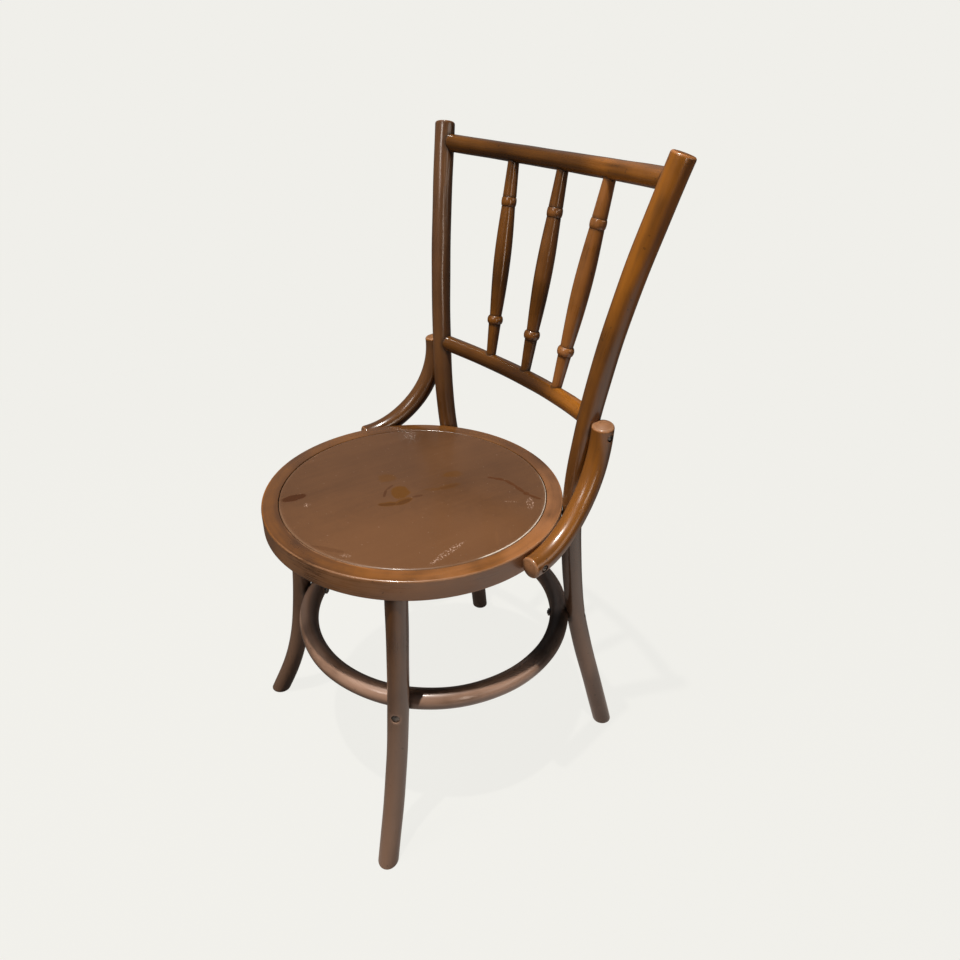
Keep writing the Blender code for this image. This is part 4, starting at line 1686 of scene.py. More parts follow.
@dataclass
class Seat:
    """Bent ring with a rebated plywood panel.

    Spans are stretches round the seat, in degrees from +x towards +y.
    """

    top_round: float = 0.0022
    low_round: float = 0.003
    crown: float = 0.0003
    chamfer: float = 0.0012
    inner_bevel: float = 0.001
    panel_round: float = 0.0030
    panel_thickness: float = 0.006
    panel_sway: float = 0.00012
    panel_flat: float = 0.03
    steps: int = 288
    ring_sway: Place = (0.0002, 0.00015)
    top_depth: float = 0.0008
    top_wear: float = 0.58
    top_rest: float = 0.2
    top_rubbed: Span = (-75.0, 40.0)
    top_soft: float = 60.0
    amber_wear: float = 0.74
    amber_patch: Span = (-52.0, -30.0)
    amber_soft: float = 2.0
    side_wear: float = 1.00
    side_bared: float = 0.62
    side_soft: float = 30.0
    # Rim and lip: the gains push the glint stretches to the pale raw colour, a painted highlight.
    rim_place: Place = (0.0007, 0.0010)
    rim_width: float = 0.0014
    rim_glint_gain: float = 0.7
    rim_glint: Span = (-55.0, -12.0)
    lip_inset: float = 0.0010
    lip_width: float = 0.0012
    lip_depth: float = 0.0015
    lip_wear: float = 1.8
    lip_glint: Span = (-88.0, -50.0)
    # How far below the top the ring and the panel are darkened.
    groove_dark_from: float = 0.0012
    ring_groove_fall: float = 0.002
    panel_groove_fall: float = 0.0012
    edge_inset: float = 0.0014
    edge_width: float = 0.0012
    edge_depth: float = 0.0018
    # The panel's edge is thin all round; along the line and glint stretches a highlight is painted pale.
    edge_wear: float = 0.8
    edge_line_wear: float = 0.75
    edge_line: Span = (-2.0, 66.0)
    edge_glint_wear: float = 0.15
    edge_glint: Span = (-2.0, 28.0)

    def ring_profile(self) -> Array:
        """Section of the ring, from the top face outwards, down, in below and up to the lip.

        The top face is crowned by a parabola across its width.

        Returns:
            (n, 2) radius and height.
        """
        s = SIZES
        inside, outside = s.panel_radius, s.ring_radius - self.top_round
        inner, bottom, shoulder = s.ring_inner_radius, s.ring_bottom, s.seat_height - self.crown
        rebate = s.seat_height - self.panel_thickness - s.gap
        across = np.linspace(inside + self.chamfer, outside, 9)[:-1]
        middle = (inside + self.chamfer + outside) / 2
        half = (outside - inside - self.chamfer) / 2
        crowned = s.seat_height - self.crown * ((across - middle) / half) ** 2
        low_centre = (s.ring_radius - self.low_round, bottom + self.low_round)
        return np.vstack([
            np.stack([across, crowned], axis=-1),
            arc((outside, shoulder - self.top_round), (self.top_round, self.top_round), 90, 0, 11),
            arc(low_centre, (self.low_round, self.low_round), 0, -90, 6),
            [[inner + self.inner_bevel, bottom], [inner, bottom + self.inner_bevel]],
            [[inner, rebate], [inside, rebate]],
            arc((inside + self.chamfer, shoulder - self.chamfer), (self.chamfer, self.chamfer), 180, 95, 6),
        ])

    def ring_tone(self, profile: Array, angle: Array) -> tuple[Array, Array]:
        """Wear and grime of the ring.

        Top and side are rubbed most towards the front and the sitter's left. The outer rim is rubbed,
        and along short stretches it and the inner lip carry a painted highlight in the pale raw colour;
        below the top, except on its outer side, the ring is darker.

        Args:
            profile: (n, 2) section of the ring.
            angle: (steps, 1) angles round the seat.

        Returns:
            Two (steps, n) arrays.
        """
        radius, height = profile.T
        top, outside = SIZES.seat_height, SIZES.ring_radius - self.top_round
        rubbed = self.top_rest + (1 - self.top_rest) * window(angle, self.top_rubbed, self.top_soft)
        amber = self.amber_wear * window(angle, self.amber_patch, self.amber_soft)
        flat = (height > top - self.top_depth) * np.maximum(self.top_wear * rubbed, amber)
        bared = self.side_wear + self.side_bared * window(angle, self.top_rubbed, self.side_soft)
        rim = bell(radius, SIZES.ring_radius - self.rim_place[0], self.rim_width)
        rim = rim * bell(height, top - self.rim_place[1], self.rim_width)
        # Painted highlight along the rim's glint stretch.
        rim = rim * (1.0 + self.rim_glint_gain * window(angle, self.rim_glint))
        # Painted highlight along the lip's glint stretch.
        lip = bell(radius, SIZES.panel_radius + self.lip_inset, self.lip_width)
        lip = self.lip_wear * lip * (height > top - self.lip_depth) * window(angle, self.lip_glint)
        wear = np.maximum.reduce([flat, (radius > outside) * bared, rim, lip])
        # Below the top, except on its outer side, the ring is darker.
        groove = smooth((top - self.groove_dark_from - height) / self.ring_groove_fall) * (radius < outside)
        return wear, np.broadcast_to(groove, wear.shape).copy()

    def ring(self) -> Skin:
        """The ring: its section carried round the seat's axis, with two slow waves in its outside.

        Returns:
            The skin, looped round the seat.
        """
        profile = self.ring_profile()
        angle = math.pi / 2 + circle(self.steps)[:, None]
        height = np.broadcast_to(profile[:, 1], (self.steps, len(profile)))
        wave = self.ring_sway[0] * np.sin(3 * angle + 0.4) + self.ring_sway[1] * np.sin(7 * angle)
        radius = profile[:, 0] + np.where(profile[:, 0] > SIZES.ring_radius - self.top_round, wave, 0.0)
        points = np.stack([radius * np.cos(angle), radius * np.sin(angle), height], axis=-1)
        turn = np.append(angle, angle[:1] + FULL_TURN, axis=0)
        place = np.broadcast_to(profile, (self.steps + 1, *profile.shape))
        along = np.broadcast_to(turn * SIZES.ring_radius, place.shape[:2])
        grain = np.concatenate([along[..., None], place], axis=-1)
        return Skin(points, grain, *self.ring_tone(profile, angle))

    def panel(self) -> Skin:
        """The panel: a disc from its underside out, over a rounded edge and in across the top.

        The top is a height field: two slow waves lift and drop it by a fraction of a millimetre.

        Returns:
            The skin, with its poles at the seat's axis.
        """
        edge = SIZES.panel_radius - SIZES.gap
        top, bottom = SIZES.seat_height, SIZES.seat_height - self.panel_thickness
        under = np.linspace(0.01, edge, 24)
        over = np.linspace(edge - self.panel_round, 0.004, 64)[1:]
        corner = (edge - self.panel_round, top - self.panel_round)
        profile = np.vstack([
            np.stack([under, np.full_like(under, bottom)], axis=-1),
            arc(corner, (self.panel_round, self.panel_round), 0, 90, 9),
            np.stack([over, np.full_like(over, top)], axis=-1),
        ])
        radius, height = profile[:, :1], profile[:, 1:]
        angle = circle(self.steps)
        x, y = radius * np.cos(angle), radius * np.sin(angle)
        inner = smooth((edge - radius) / self.panel_flat) * (height > bottom + 0.001)
        sway = np.sin(16 * x + 9 * y + 0.6) + np.sin(11 * y - 7 * x + 2.1) - 2
        z = height + self.panel_sway * inner * sway
        points = np.stack([x, y, z], axis=-1)
        # Thin edge all round, and a painted highlight along the line and glint stretches.
        worn = self.edge_wear + self.edge_line_wear * window(angle, self.edge_line)
        worn = worn + self.edge_glint_wear * window(angle, self.edge_glint)
        worn = worn * bell(radius, edge - self.edge_inset, self.edge_width) * (height > top - self.edge_depth)
        # Below the top the panel's edge and underside are darker.
        soil = smooth((top - self.groove_dark_from - height) / self.panel_groove_fall)
        poles = (np.array([0, 0, bottom]), points[-1].mean(axis=0))
        return Skin(points, np.stack([y, x, z], axis=-1), worn, np.broadcast_to(soil, x.shape).copy(), poles)

    def build(self, maker: Maker) -> None:
        """Makes the ring and the panel."""
        maker.piece("bent_seat_ring", [self.ring()], Slot.BENT, "seat_ring")
        maker.piece("plywood_seat", [self.panel()], Slot.SEAT, "seat_panel")


@dataclass
class LegFrame:
    """Front legs, back posts and the hoop that ties them, with their bolts."""

    axes: Axes
    fastener: Fastener
    hoop_spot_face: float = 0.0018
    hoop_spot_rim: float = 0.0004
    ring_spot_face: float = 0.0006
    post_end_round: float = 0.0030
    post_foot_round: float = 0.0030
    post_face_wear: float = 0.1
    post_rim_wear: float = 0.9
    post_face_soil: float = 0.45
    foot_round: float = 0.0020
    leg_top_round: float = 0.0006
    hoop_points: int = 900
    joint_reach: float = 0.012
    # The upper outside is partly painted light, the inside at the front partly painted shade, and the dark
    # stretch is the seat's painted shadow.
    hoop_wear: float = 0.90
    hoop_soil_and_shade: float = 0.40
    hoop_rear_fade: float = 0.2
    hoop_painted_shadow: Span = (16.0, 41.0)
    hoop_painted_shadow_soft: float = 9.0
    hoop_painted_shadow_strength: float = 0.85

    def bolt_line(self, path: Path, target: Array) -> Line:
        """A level bolt line from a rod's axis towards a place.

        Args:
            path: the rod's centre line.
            target: the place, at the bolt's height.

        Returns:
            Where the bolt crosses the rod's axis, and its direction.
        """
        centre = path.at_height(float(target[2]))
        return centre, unit(target - centre)

    def recess(self, path: Path, line: Line) -> Sink:
        """The recess of a bolt's head in a rod."""
        fastener = self.fastener
        return Sink(path.length_near(line[0]), fastener.head_radius + SIZES.gap, fastener.recess_depth)

    def contact(self, line: Line) -> Joint:
        """Where a rod meets what its bolt holds it to."""
        centre, inward = line
        return centre + inward * SIZES.rod_radius, self.joint_reach

    def leg(self, side: Side) -> tuple[Skin, Line]:
        """A front leg.

        Args:
            side: which leg.

        Returns:
            The skin and its bolt line.
        """
        path = self.axes.leg(side)
        line = self.bolt_line(path, SIZES.hoop_centre)
        rod = Rod(
            path,
            SIZES.rod_radius,
            steady((0.0, -line[1]), (path.total, -line[1])),
            start_round=self.foot_round,
            end_round=self.leg_top_round,
            level_start=True,
            level_end=True,
            sinks=(self.recess(path, line),),
            housings=(keep_off_hoop,),
            joints=(self.contact(line),),
        )
        return rod.skin(), line

    def post(self, side: Side, joints: tuple[Joint, ...]) -> tuple[Skin, Line, Line]:
        """A back post.

        Args:
            side: which post.
            joints: where rails and braces meet it.

        Returns:
            The skin and the lines of the hoop's bolt and the ring's.
        """
        path = self.axes.post(side)
        low = self.bolt_line(path, SIZES.hoop_centre)
        high = self.bolt_line(path, SIZES.ring_middle * UP)
        sinks = (self.recess(path, low), self.recess(path, high))
        rod = Rod(
            path,
            SIZES.rod_radius,
            steady((sinks[0].along, -low[1]), (sinks[1].along, -high[1])),
            start_round=self.post_foot_round,
            end_round=self.post_end_round,
            face_wear=self.post_face_wear,
            rim_wear=self.post_rim_wear,
            face_soil=self.post_face_soil,
            level_start=True,
            sinks=sinks,
            housings=(keep_off_hoop, keep_off_ring),
            joints=(*joints, self.contact(low), self.contact(high)),
        )
        return rod.skin(), low, high

    def hoop(self, bolts: list[Line]) -> Skin:
        """The leg hoop, with a flat face under each nut on its inner side.

        Args:
            bolts: lines of the four bolts.

        Returns:
            The skin.
        """
        centre, radius = SIZES.hoop_centre, SIZES.hoop_rod_radius
        angle = math.pi / 2 + circle(self.hoop_points)
        ring = np.stack([np.cos(angle), np.sin(angle), np.zeros_like(angle)], axis=-1)
        path = Path(centre + SIZES.hoop_radius * ring, looped=True)
        places = [centre + unit((place - centre) * LEVEL) * SIZES.hoop_radius for place, _ in bolts]
        face = self.fastener.nut_across_flats / math.sqrt(3) + SIZES.gap
        lengths = sorted(path.length_near(place) for place in places)
        contacts = (place - inward * radius for place, (_, inward) in zip(places, bolts))
        rod = Rod(
            path,
            radius,
            lambda along: unit(centre - path.at(along)),
            sinks=tuple(Sink(along, face, self.hoop_spot_face, self.hoop_spot_rim) for along in lengths),
            joints=tuple((contact, self.joint_reach) for contact in contacts),
        )
        return self.hoop_tone(rod.skin())

    def hoop_tone(self, skin: Skin) -> Skin:
        """The hoop's rubbing and soil, with painted light, shade and shadow.

        Feet have rubbed its outside above, which is also painted lighter where the light falls on it, and
        its inside at the back. Soil and painted shade lie on the inside at the front, and a dark stretch on
        top at the sitter's left is the seat's painted shadow.

        Args:
            skin: the hoop's skin.

        Returns:
            The same skin.
        """
        centre, radius = SIZES.hoop_centre, SIZES.hoop_rod_radius
        apart = skin.points - centre
        outer = smooth(0.5 + 1.2 * (np.linalg.norm(apart[..., :2], axis=-1) - SIZES.hoop_radius) / radius)
        rise = apart[..., 2] / radius
        behind = smooth(0.5 + skin.points[..., 1] / self.hoop_rear_fade)
        # Rubbed places; the upper outside is partly painted light.
        rubbed = np.maximum(outer * smooth(0.45 + rise), behind * (1 - outer))
        # Painted shadow: the seat's shadow painted dark on top of the hoop at the sitter's left.
        dark = window(np.arctan2(apart[..., 1], apart[..., 0]), self.hoop_painted_shadow, self.hoop_painted_shadow_soft)
        dark = self.hoop_painted_shadow_strength * dark * smooth(1.0 + rise)
        skin.wear = np.maximum(skin.wear, self.hoop_wear * rubbed)
        # Soil and painted shade on the inside at the front.
        skin.grime_and_shade = np.maximum.reduce([skin.grime_and_shade, self.hoop_soil_and_shade * (1 - outer) * (1 - behind), dark])
        return skin

    def fasten(self, maker: Maker, label: str, line: Line, to_nut: float) -> None:
        """Makes a bolt and its nut.

        Args:
            maker: makes the pieces.
            label: name of the bolt's place.
            line: the bolt's line.
            to_nut: distance from the rod's axis to the nut's face.
        """
        centre, inward = line
        bolt = self.fastener.bolt_skin(centre, inward, to_nut)
        maker.piece(f"sunk_bolt_{label}", [bolt], Slot.STEEL, f"{label}_bolt")
        nut = self.fastener.nut_skin(centre + inward * to_nut, inward)
        maker.piece(f"hex_nut_{label}", [nut], Slot.STEEL, f"{label}_nut")

    def build(self, maker: Maker, joints: dict[Side, tuple[Joint, ...]]) -> None:
        """Makes legs, posts, hoop, bolts and nuts.

        Args:
            maker: makes the pieces.
            joints: for each side, where rails and brace meet the post.
        """
        lines: dict[str, Line] = {}
        for side in Side:
            leg, lines[f"hoop_front_{side.word}"] = self.leg(side)
            maker.piece(f"sabre_leg_{side.word}", [leg], Slot.BENT, f"front_leg_{side.word}")
            post, lines[f"hoop_rear_{side.word}"], high = self.post(side, joints[side])
            maker.piece(f"bent_post_{side.word}", [post], Slot.BENT, f"back_post_{side.word}")
            to_ring = math.hypot(*high[0][:2]) - SIZES.ring_inner_radius - self.ring_spot_face
            self.fasten(maker, f"seat_{side.word}", high, to_ring)
        maker.piece("bent_leg_hoop", [self.hoop(list(lines.values()))], Slot.BENT, "leg_hoop")
        for label, line in lines.items():
            across = float(np.linalg.norm(SIZES.hoop_centre - line[0]))
            to_nut = across - SIZES.hoop_radius + SIZES.hoop_rod_radius - self.hoop_spot_face
            self.fasten(maker, label, line, to_nut)


@dataclass
class SpindleBack:
    """Top rail, lower rail and the three turned spindles between them."""

    axes: Axes
    top_bow: float = 0.042
    top_tilt: float = 8.0
    lower_bow: float = 0.033
    lower_tilt: float = 18.0
    rail_points: int = 1200
    rail_step: float = 0.003
    rail_reach: float = 0.03
    rail_soil: float = 0.003
    top_spacing: float = 0.0933
    low_spacing: float = 0.0741
    foot_radius: float = 0.0072
    low_neck: float = 0.0089
    body_low: float = 0.0086
    swell: float = 0.0029
    body_top: float = 0.0095
    top_neck: float = 0.0096
    head_radius: float = 0.0078
    low_bead_radius: float = 0.0114
    low_bead_core: float = 0.0082
    top_bead_radius: float = 0.0106
    top_bead_core: float = 0.0090
    bead_half: float = 0.0062
    bead_from_rail: float = 0.050
    quirk: float = 0.0004
    neck_start: float = 0.004
    neck_flare: float = 0.0001
    neck_rows: int = 10
    spindle_points: int = 400
    spindle_reach: float = 0.009
    spindle_blend: Triple = (0.0025, 0.005, 0.0075)
    spindle_soil: float = 0.004
    spindle_waviness: float = 0.00003
    spindle_wear: float = 0.4
    # The crowns' rubbing is partly a painted highlight, and the quirks carry painted shade.
    crown_wear: float = 0.4
    crown_width: float = 0.0022
    quirk_shade: float = 0.7
    quirk_width: float = 0.0008

    def rail_path(self, height: float, bow: float, tilt: float) -> Path:
        """Centre line of a rail: a circular arc from post to post, bowed back in a tilted plane.

        Args:
            height: height where it meets the posts.
            bow: depth of the arc.
            tilt: fall of the arc's plane towards the back, in degrees.

        Returns:
            The path, from the sitter's right to the left.
        """
        end = self.axes.post(Side.LEFT).at_height(height)
        back = np.array([0, math.cos(math.radians(tilt)), -math.sin(math.radians(tilt))])
        radius = (end[0] ** 2 + bow**2) / (2 * bow)
        x = np.linspace(-end[0], end[0], self.rail_points)
        depth = np.sqrt(radius**2 - x**2) - radius + bow
        level = np.stack([x, np.full_like(x, end[1]), np.full_like(x, end[2])], axis=-1)
        return Path(level + depth[:, None] * back)

    def top_path(self) -> Path:
        """Centre line of the top rail."""
        return self.rail_path(SIZES.top_rail_height, self.top_bow, self.top_tilt)

    def lower_path(self) -> Path:
        """Centre line of the lower rail."""
        return self.rail_path(SIZES.lower_rail_height, self.lower_bow, self.lower_tilt)

    def ends(self, station: Station) -> tuple[RodLine, RodLine]:
        """Where a spindle's axis meets the lower rail's and the top rail's.

        Args:
            station: which spindle.

        Returns:
            For each end the rail's axis point, its direction there and the radius to keep off.
        """
        lower, top = self.lower_path(), self.top_path()
        low = float(np.interp(station.value * self.low_spacing, lower.points[:, 0], lower.lengths))
        high = float(np.interp(station.value * self.top_spacing, top.points[:, 0], top.lengths))
        return (
            (lower.at(low), lower.tangent(low), SIZES.lower_rail_radius + SIZES.gap),
            (top.at(high), top.tangent(high), SIZES.top_rail_radius + SIZES.gap),
        )

    def rail(self, path: Path, radius: float, sockets: tuple[Joint, ...]) -> Skin:
        """A rail scribed to both posts.

        Args:
            path: its centre line.
            radius: its radius.
            sockets: where the spindles enter it.

        Returns:
            The skin.
        """
        rods = []
        for side, along in ((Side.RIGHT, 0.0), (Side.LEFT, path.total)):
            post = self.axes.post(side)
            length = post.length_near(path.at(along))
            rods.append((post.at(length), post.tangent(length), SIZES.rod_radius + SIZES.gap))
        first, last = SIZES.rod_radius, path.total - SIZES.rod_radius
        rod = ScribedRod(
            path,
            steady((0.0, UP), (path.total, UP)),
            lambda along: np.full_like(along, radius),
            np.concatenate([[first], between(first, last, self.rail_step), [last]]),
            *rods,
            reach=self.rail_reach,
            joints=sockets,
            end_soil=self.rail_soil,
        )
        return rod.skin()

    def spindle_profile(self, length: float) -> tuple[Array, Array]:
        """Section of a spindle, from the lower rail's axis to the top rail's.

        Straight necks, a half round bead with a quirk on either side at each end, and a body that
        swells by half a sine wave.

        Args:
            length: length between the rails' axes.

        Returns:
            Heights and radii.
        """
        foot, head = SIZES.lower_rail_radius, length - SIZES.top_rail_radius
        low, top = foot + self.bead_from_rail, head - self.bead_from_rail
        turn = np.radians(np.linspace(-90, 90, 17))
        bead_height, bulge = self.bead_half * np.sin(turn), np.cos(turn)
        share = np.linspace(0, 1, 60)
        beside = self.bead_half + self.quirk
        heights = np.concatenate([
            [0.0, foot],
            np.linspace(foot + self.neck_start, low - beside, self.neck_rows),
            low + bead_height,
            low + beside + share * (top - low - 2 * beside),
            top + bead_height,
            np.linspace(top + beside, head - self.neck_start, self.neck_rows),
            [head, length],
        ])
        radii = np.concatenate([
            [self.foot_radius, self.foot_radius],
            np.linspace(self.foot_radius + self.neck_flare, self.low_neck, self.neck_rows),
            self.low_bead_core + (self.low_bead_radius - self.low_bead_core) * bulge,
            self.body_low + share * (self.body_top - self.body_low) + self.swell * np.sin(math.pi * share),
            self.top_bead_core + (self.top_bead_radius - self.top_bead_core) * bulge,
            np.linspace(self.top_neck, self.head_radius + self.neck_flare, self.neck_rows),
            [self.head_radius, self.head_radius],
        ])
        return heights, radii

    def spindle(self, station: Station) -> Skin:
        """A turned spindle scribed to both rails.

        Args:
            station: which spindle.

        Returns:
            The skin, rubbed on the beads' crowns, which is partly a painted highlight, and with painted shade
            in their quirks.
        """
        lower, top = self.ends(station)
        length = float(np.linalg.norm(top[0] - lower[0]))
        heights, radii = self.spindle_profile(length)
        first, last = SIZES.lower_rail_radius, length - SIZES.top_rail_radius
        blend, reach = np.array(self.spindle_blend), self.spindle_reach
        inner = heights[(heights > first + reach) & (heights < last - reach)]
        crowns = (first + self.bead_from_rail, last - self.bead_from_rail)
        quirks = [crown + sign * self.bead_half for crown in crowns for sign in (-1, 1)]

        def edge_wear(along: Array) -> Array:
            """Rubbing along the spindle, most on the crowns, where it is partly a painted highlight."""
            bells = sum(bell(along, crown, self.crown_width) for crown in crowns)
            return self.spindle_wear + self.crown_wear * bells

        forward = np.array([0.0, -1.0, 0.0])
        rod = ScribedRod(
            Path(np.linspace(lower[0], top[0], self.spindle_points)),
            steady((0.0, forward), (length, forward)),
            lambda along: np.interp(along, heights, radii),
            np.concatenate([[first], first + blend, inner, (last - blend)[::-1], [last]]),
            lower,
            top,
            reach=reach,
            waviness=self.spindle_waviness,
            end_soil=self.spindle_soil,
            edge_wear=edge_wear,
        )
        skin = rod.skin()
        # Painted shade: dark bands in the quirks beside each bead.
        soil = sum(bell(skin.grain[..., 0], quirk, self.quirk_width) for quirk in quirks)
        skin.grime_and_shade = np.maximum(skin.grime_and_shade, self.quirk_shade * soil)
        return skin

    def joints(self, side: Side) -> tuple[Joint, ...]:
        """Where the rails meet a post.

        Args:
            side: which post.

        Returns:
            The top rail's joint and the lower rail's.
        """
        rails = ((self.top_path(), SIZES.top_rail_radius), (self.lower_path(), SIZES.lower_rail_radius))
        inset = SIZES.rod_radius
        return tuple(
            (path.at(path.total - inset if side is Side.LEFT else inset), radius) for path, radius in rails
        )

    def build(self, maker: Maker) -> None:
        """Makes both rails and the spindles.

        Args:
            maker: makes the pieces.
        """
        under, over = [], []
        for station in Station:
            (foot, _, _), (head, _, _) = self.ends(station)
            along = unit(head - foot)
            under.append((head - along * SIZES.top_rail_radius, self.head_radius))
            over.append((foot + along * SIZES.lower_rail_radius, self.foot_radius))
        top = self.rail(self.top_path(), SIZES.top_rail_radius, tuple(under))
        maker.piece("bowed_top_rail", [top], Slot.TURNED, "top_rail")
        lower = self.rail(self.lower_path(), SIZES.lower_rail_radius, tuple(over))
        maker.piece("bowed_lower_rail", [lower], Slot.TURNED, "lower_rail")
        for station in Station:
            name, skin = station.word, self.spindle(station)
            maker.piece(f"turned_spindle_{name}", [skin], Slot.TURNED, f"spindle_{name}")


@dataclass
class HipBraces:
    """Bent braces from the posts' outer sides down and forward to the ring, with their screws."""

    axes: Axes
    fastener: Fastener
    rise: float = 0.0035
    hollow: float = 0.0040
    top_pull: Triple = (-0.0069, 0.0111, -0.0835)
    front_angle: float = 7.8
    front_rise: float = -0.0155
    front_pull: Triple = (-0.0054, 0.0653, -0.0009)
    screw_from_end: float = 0.016
    recess_clearance: float = 0.0006
    recess_rim: float = 0.0005
    end_round: float = 0.0036
    end_bulge: float = 0.0027
    end_wear: float = 1.5
    end_soil: float = 0.33
    contact_depths: Place = (0.011, 0.012)
    contact_reach: float = 0.006
    post_reach: float = 0.008
    row_step: float = 0.0035
    patch_scale: float = 1.9
    count: int = 700

    def path(self, side: Side) -> Path:
        """Centre line: a cubic Bezier curve, the sum of four knots times their Bernstein weights.

        Args:
            side: which brace.

        Returns:
            The path, from its end on the post to its end on the ring.
        """
        at_post = self.axes.post(Side.LEFT).at_height(SIZES.lower_rail_height + self.rise)
        top = at_post + [2 * SIZES.rod_radius - self.hollow, 0, 0]
        reach = SIZES.ring_radius + SIZES.rod_radius - self.hollow / 2
        front = around(reach, self.front_angle, SIZES.seat_height + self.front_rise)
        knots = np.array([top, top + self.top_pull, front + self.front_pull, front])
        t = np.linspace(0, 1, self.count)[:, None]
        weights = np.concatenate([(1 - t) ** 3, 3 * t * (1 - t) ** 2, 3 * t**2 * (1 - t), t**3], axis=1)
        return Path(mirrored(weights @ knots, side))

    def screws(self, side: Side) -> tuple[Line, Line]:
        """Lines of the upper screw, towards the post, and the lower one, towards the seat's axis.

        Args:
            side: which brace.

        Returns:
            For each screw, where it crosses the brace's axis and its direction.
        """
        path = self.path(side)
        upper, lower = path.at(np.array([self.screw_from_end, path.total - self.screw_from_end]))
        to_post = unit(self.axes.post(side).at_height(float(upper[2])) - upper)
        return (upper, to_post), (lower, unit(-lower * LEVEL))

    def joint(self, side: Side) -> Joint:
        """Where the brace meets the post.

        Args:
            side: which brace.

        Returns:
            The joint, on the post's surface.
        """
        (upper, to_post), _ = self.screws(side)
        axis = self.axes.post(side).at_height(float(upper[2]))
        return axis - to_post * SIZES.rod_radius, self.post_reach

    def brace(self, side: Side) -> Skin:
        """A brace with its two recesses, hollowed where it lies on the post and the ring.

        Args:
            side: which brace.

        Returns:
            The skin.
        """
        path, post, screws = self.path(side), self.axes.post(side), self.screws(side)
        recess = self.fastener.screw_head_radius + self.recess_clearance
        depth = self.fastener.screw_recess_depth
        lengths = (self.screw_from_end, path.total - self.screw_from_end)
        rod = Rod(
            path,
            SIZES.rod_radius,
            steady(*((along, -inward) for along, (_, inward) in zip(lengths, screws))),
            start_round=self.end_round,
            end_round=self.end_round,
            bulge=self.end_bulge,
            face_wear=self.end_wear,
            face_soil=self.end_soil,
            sinks=tuple(Sink(along, recess, depth, self.recess_rim) for along in lengths),
            patch_scale=self.patch_scale,
            step=self.row_step,
            housings=(keep_off_path(post, SIZES.rod_radius + SIZES.gap), keep_off_ring),
            joints=tuple(
                (place + inward * deep, self.contact_reach)
                for (place, inward), deep in zip(screws, self.contact_depths)
            ),
        )
        return rod.skin()

    def build(self, maker: Maker) -> None:
        """Makes both braces and their screws.

        Args:
            maker: makes the pieces.
        """
        for side in Side:
            maker.piece(f"bent_brace_{side.word}", [self.brace(side)], Slot.BENT, f"hip_brace_{side.word}")
            for label, line in zip(("upper", "lower"), self.screws(side)):
                name, skins = f"{label}_{side.word}", self.fastener.screw_skins(*line)
                maker.piece(f"slotted_screw_{name}", skins, Slot.STEEL, f"brace_screw_{name}")


@dataclass(frozen=True)
class SoftBox:
    """A soft light: where it stands from the seat, its size, power and colour."""

    name: str
    toward: Triple
    distance: float
    width: float
    height: float
    power: float
    tint: Colour
    diffuse: bool = True
    glossy: bool = True


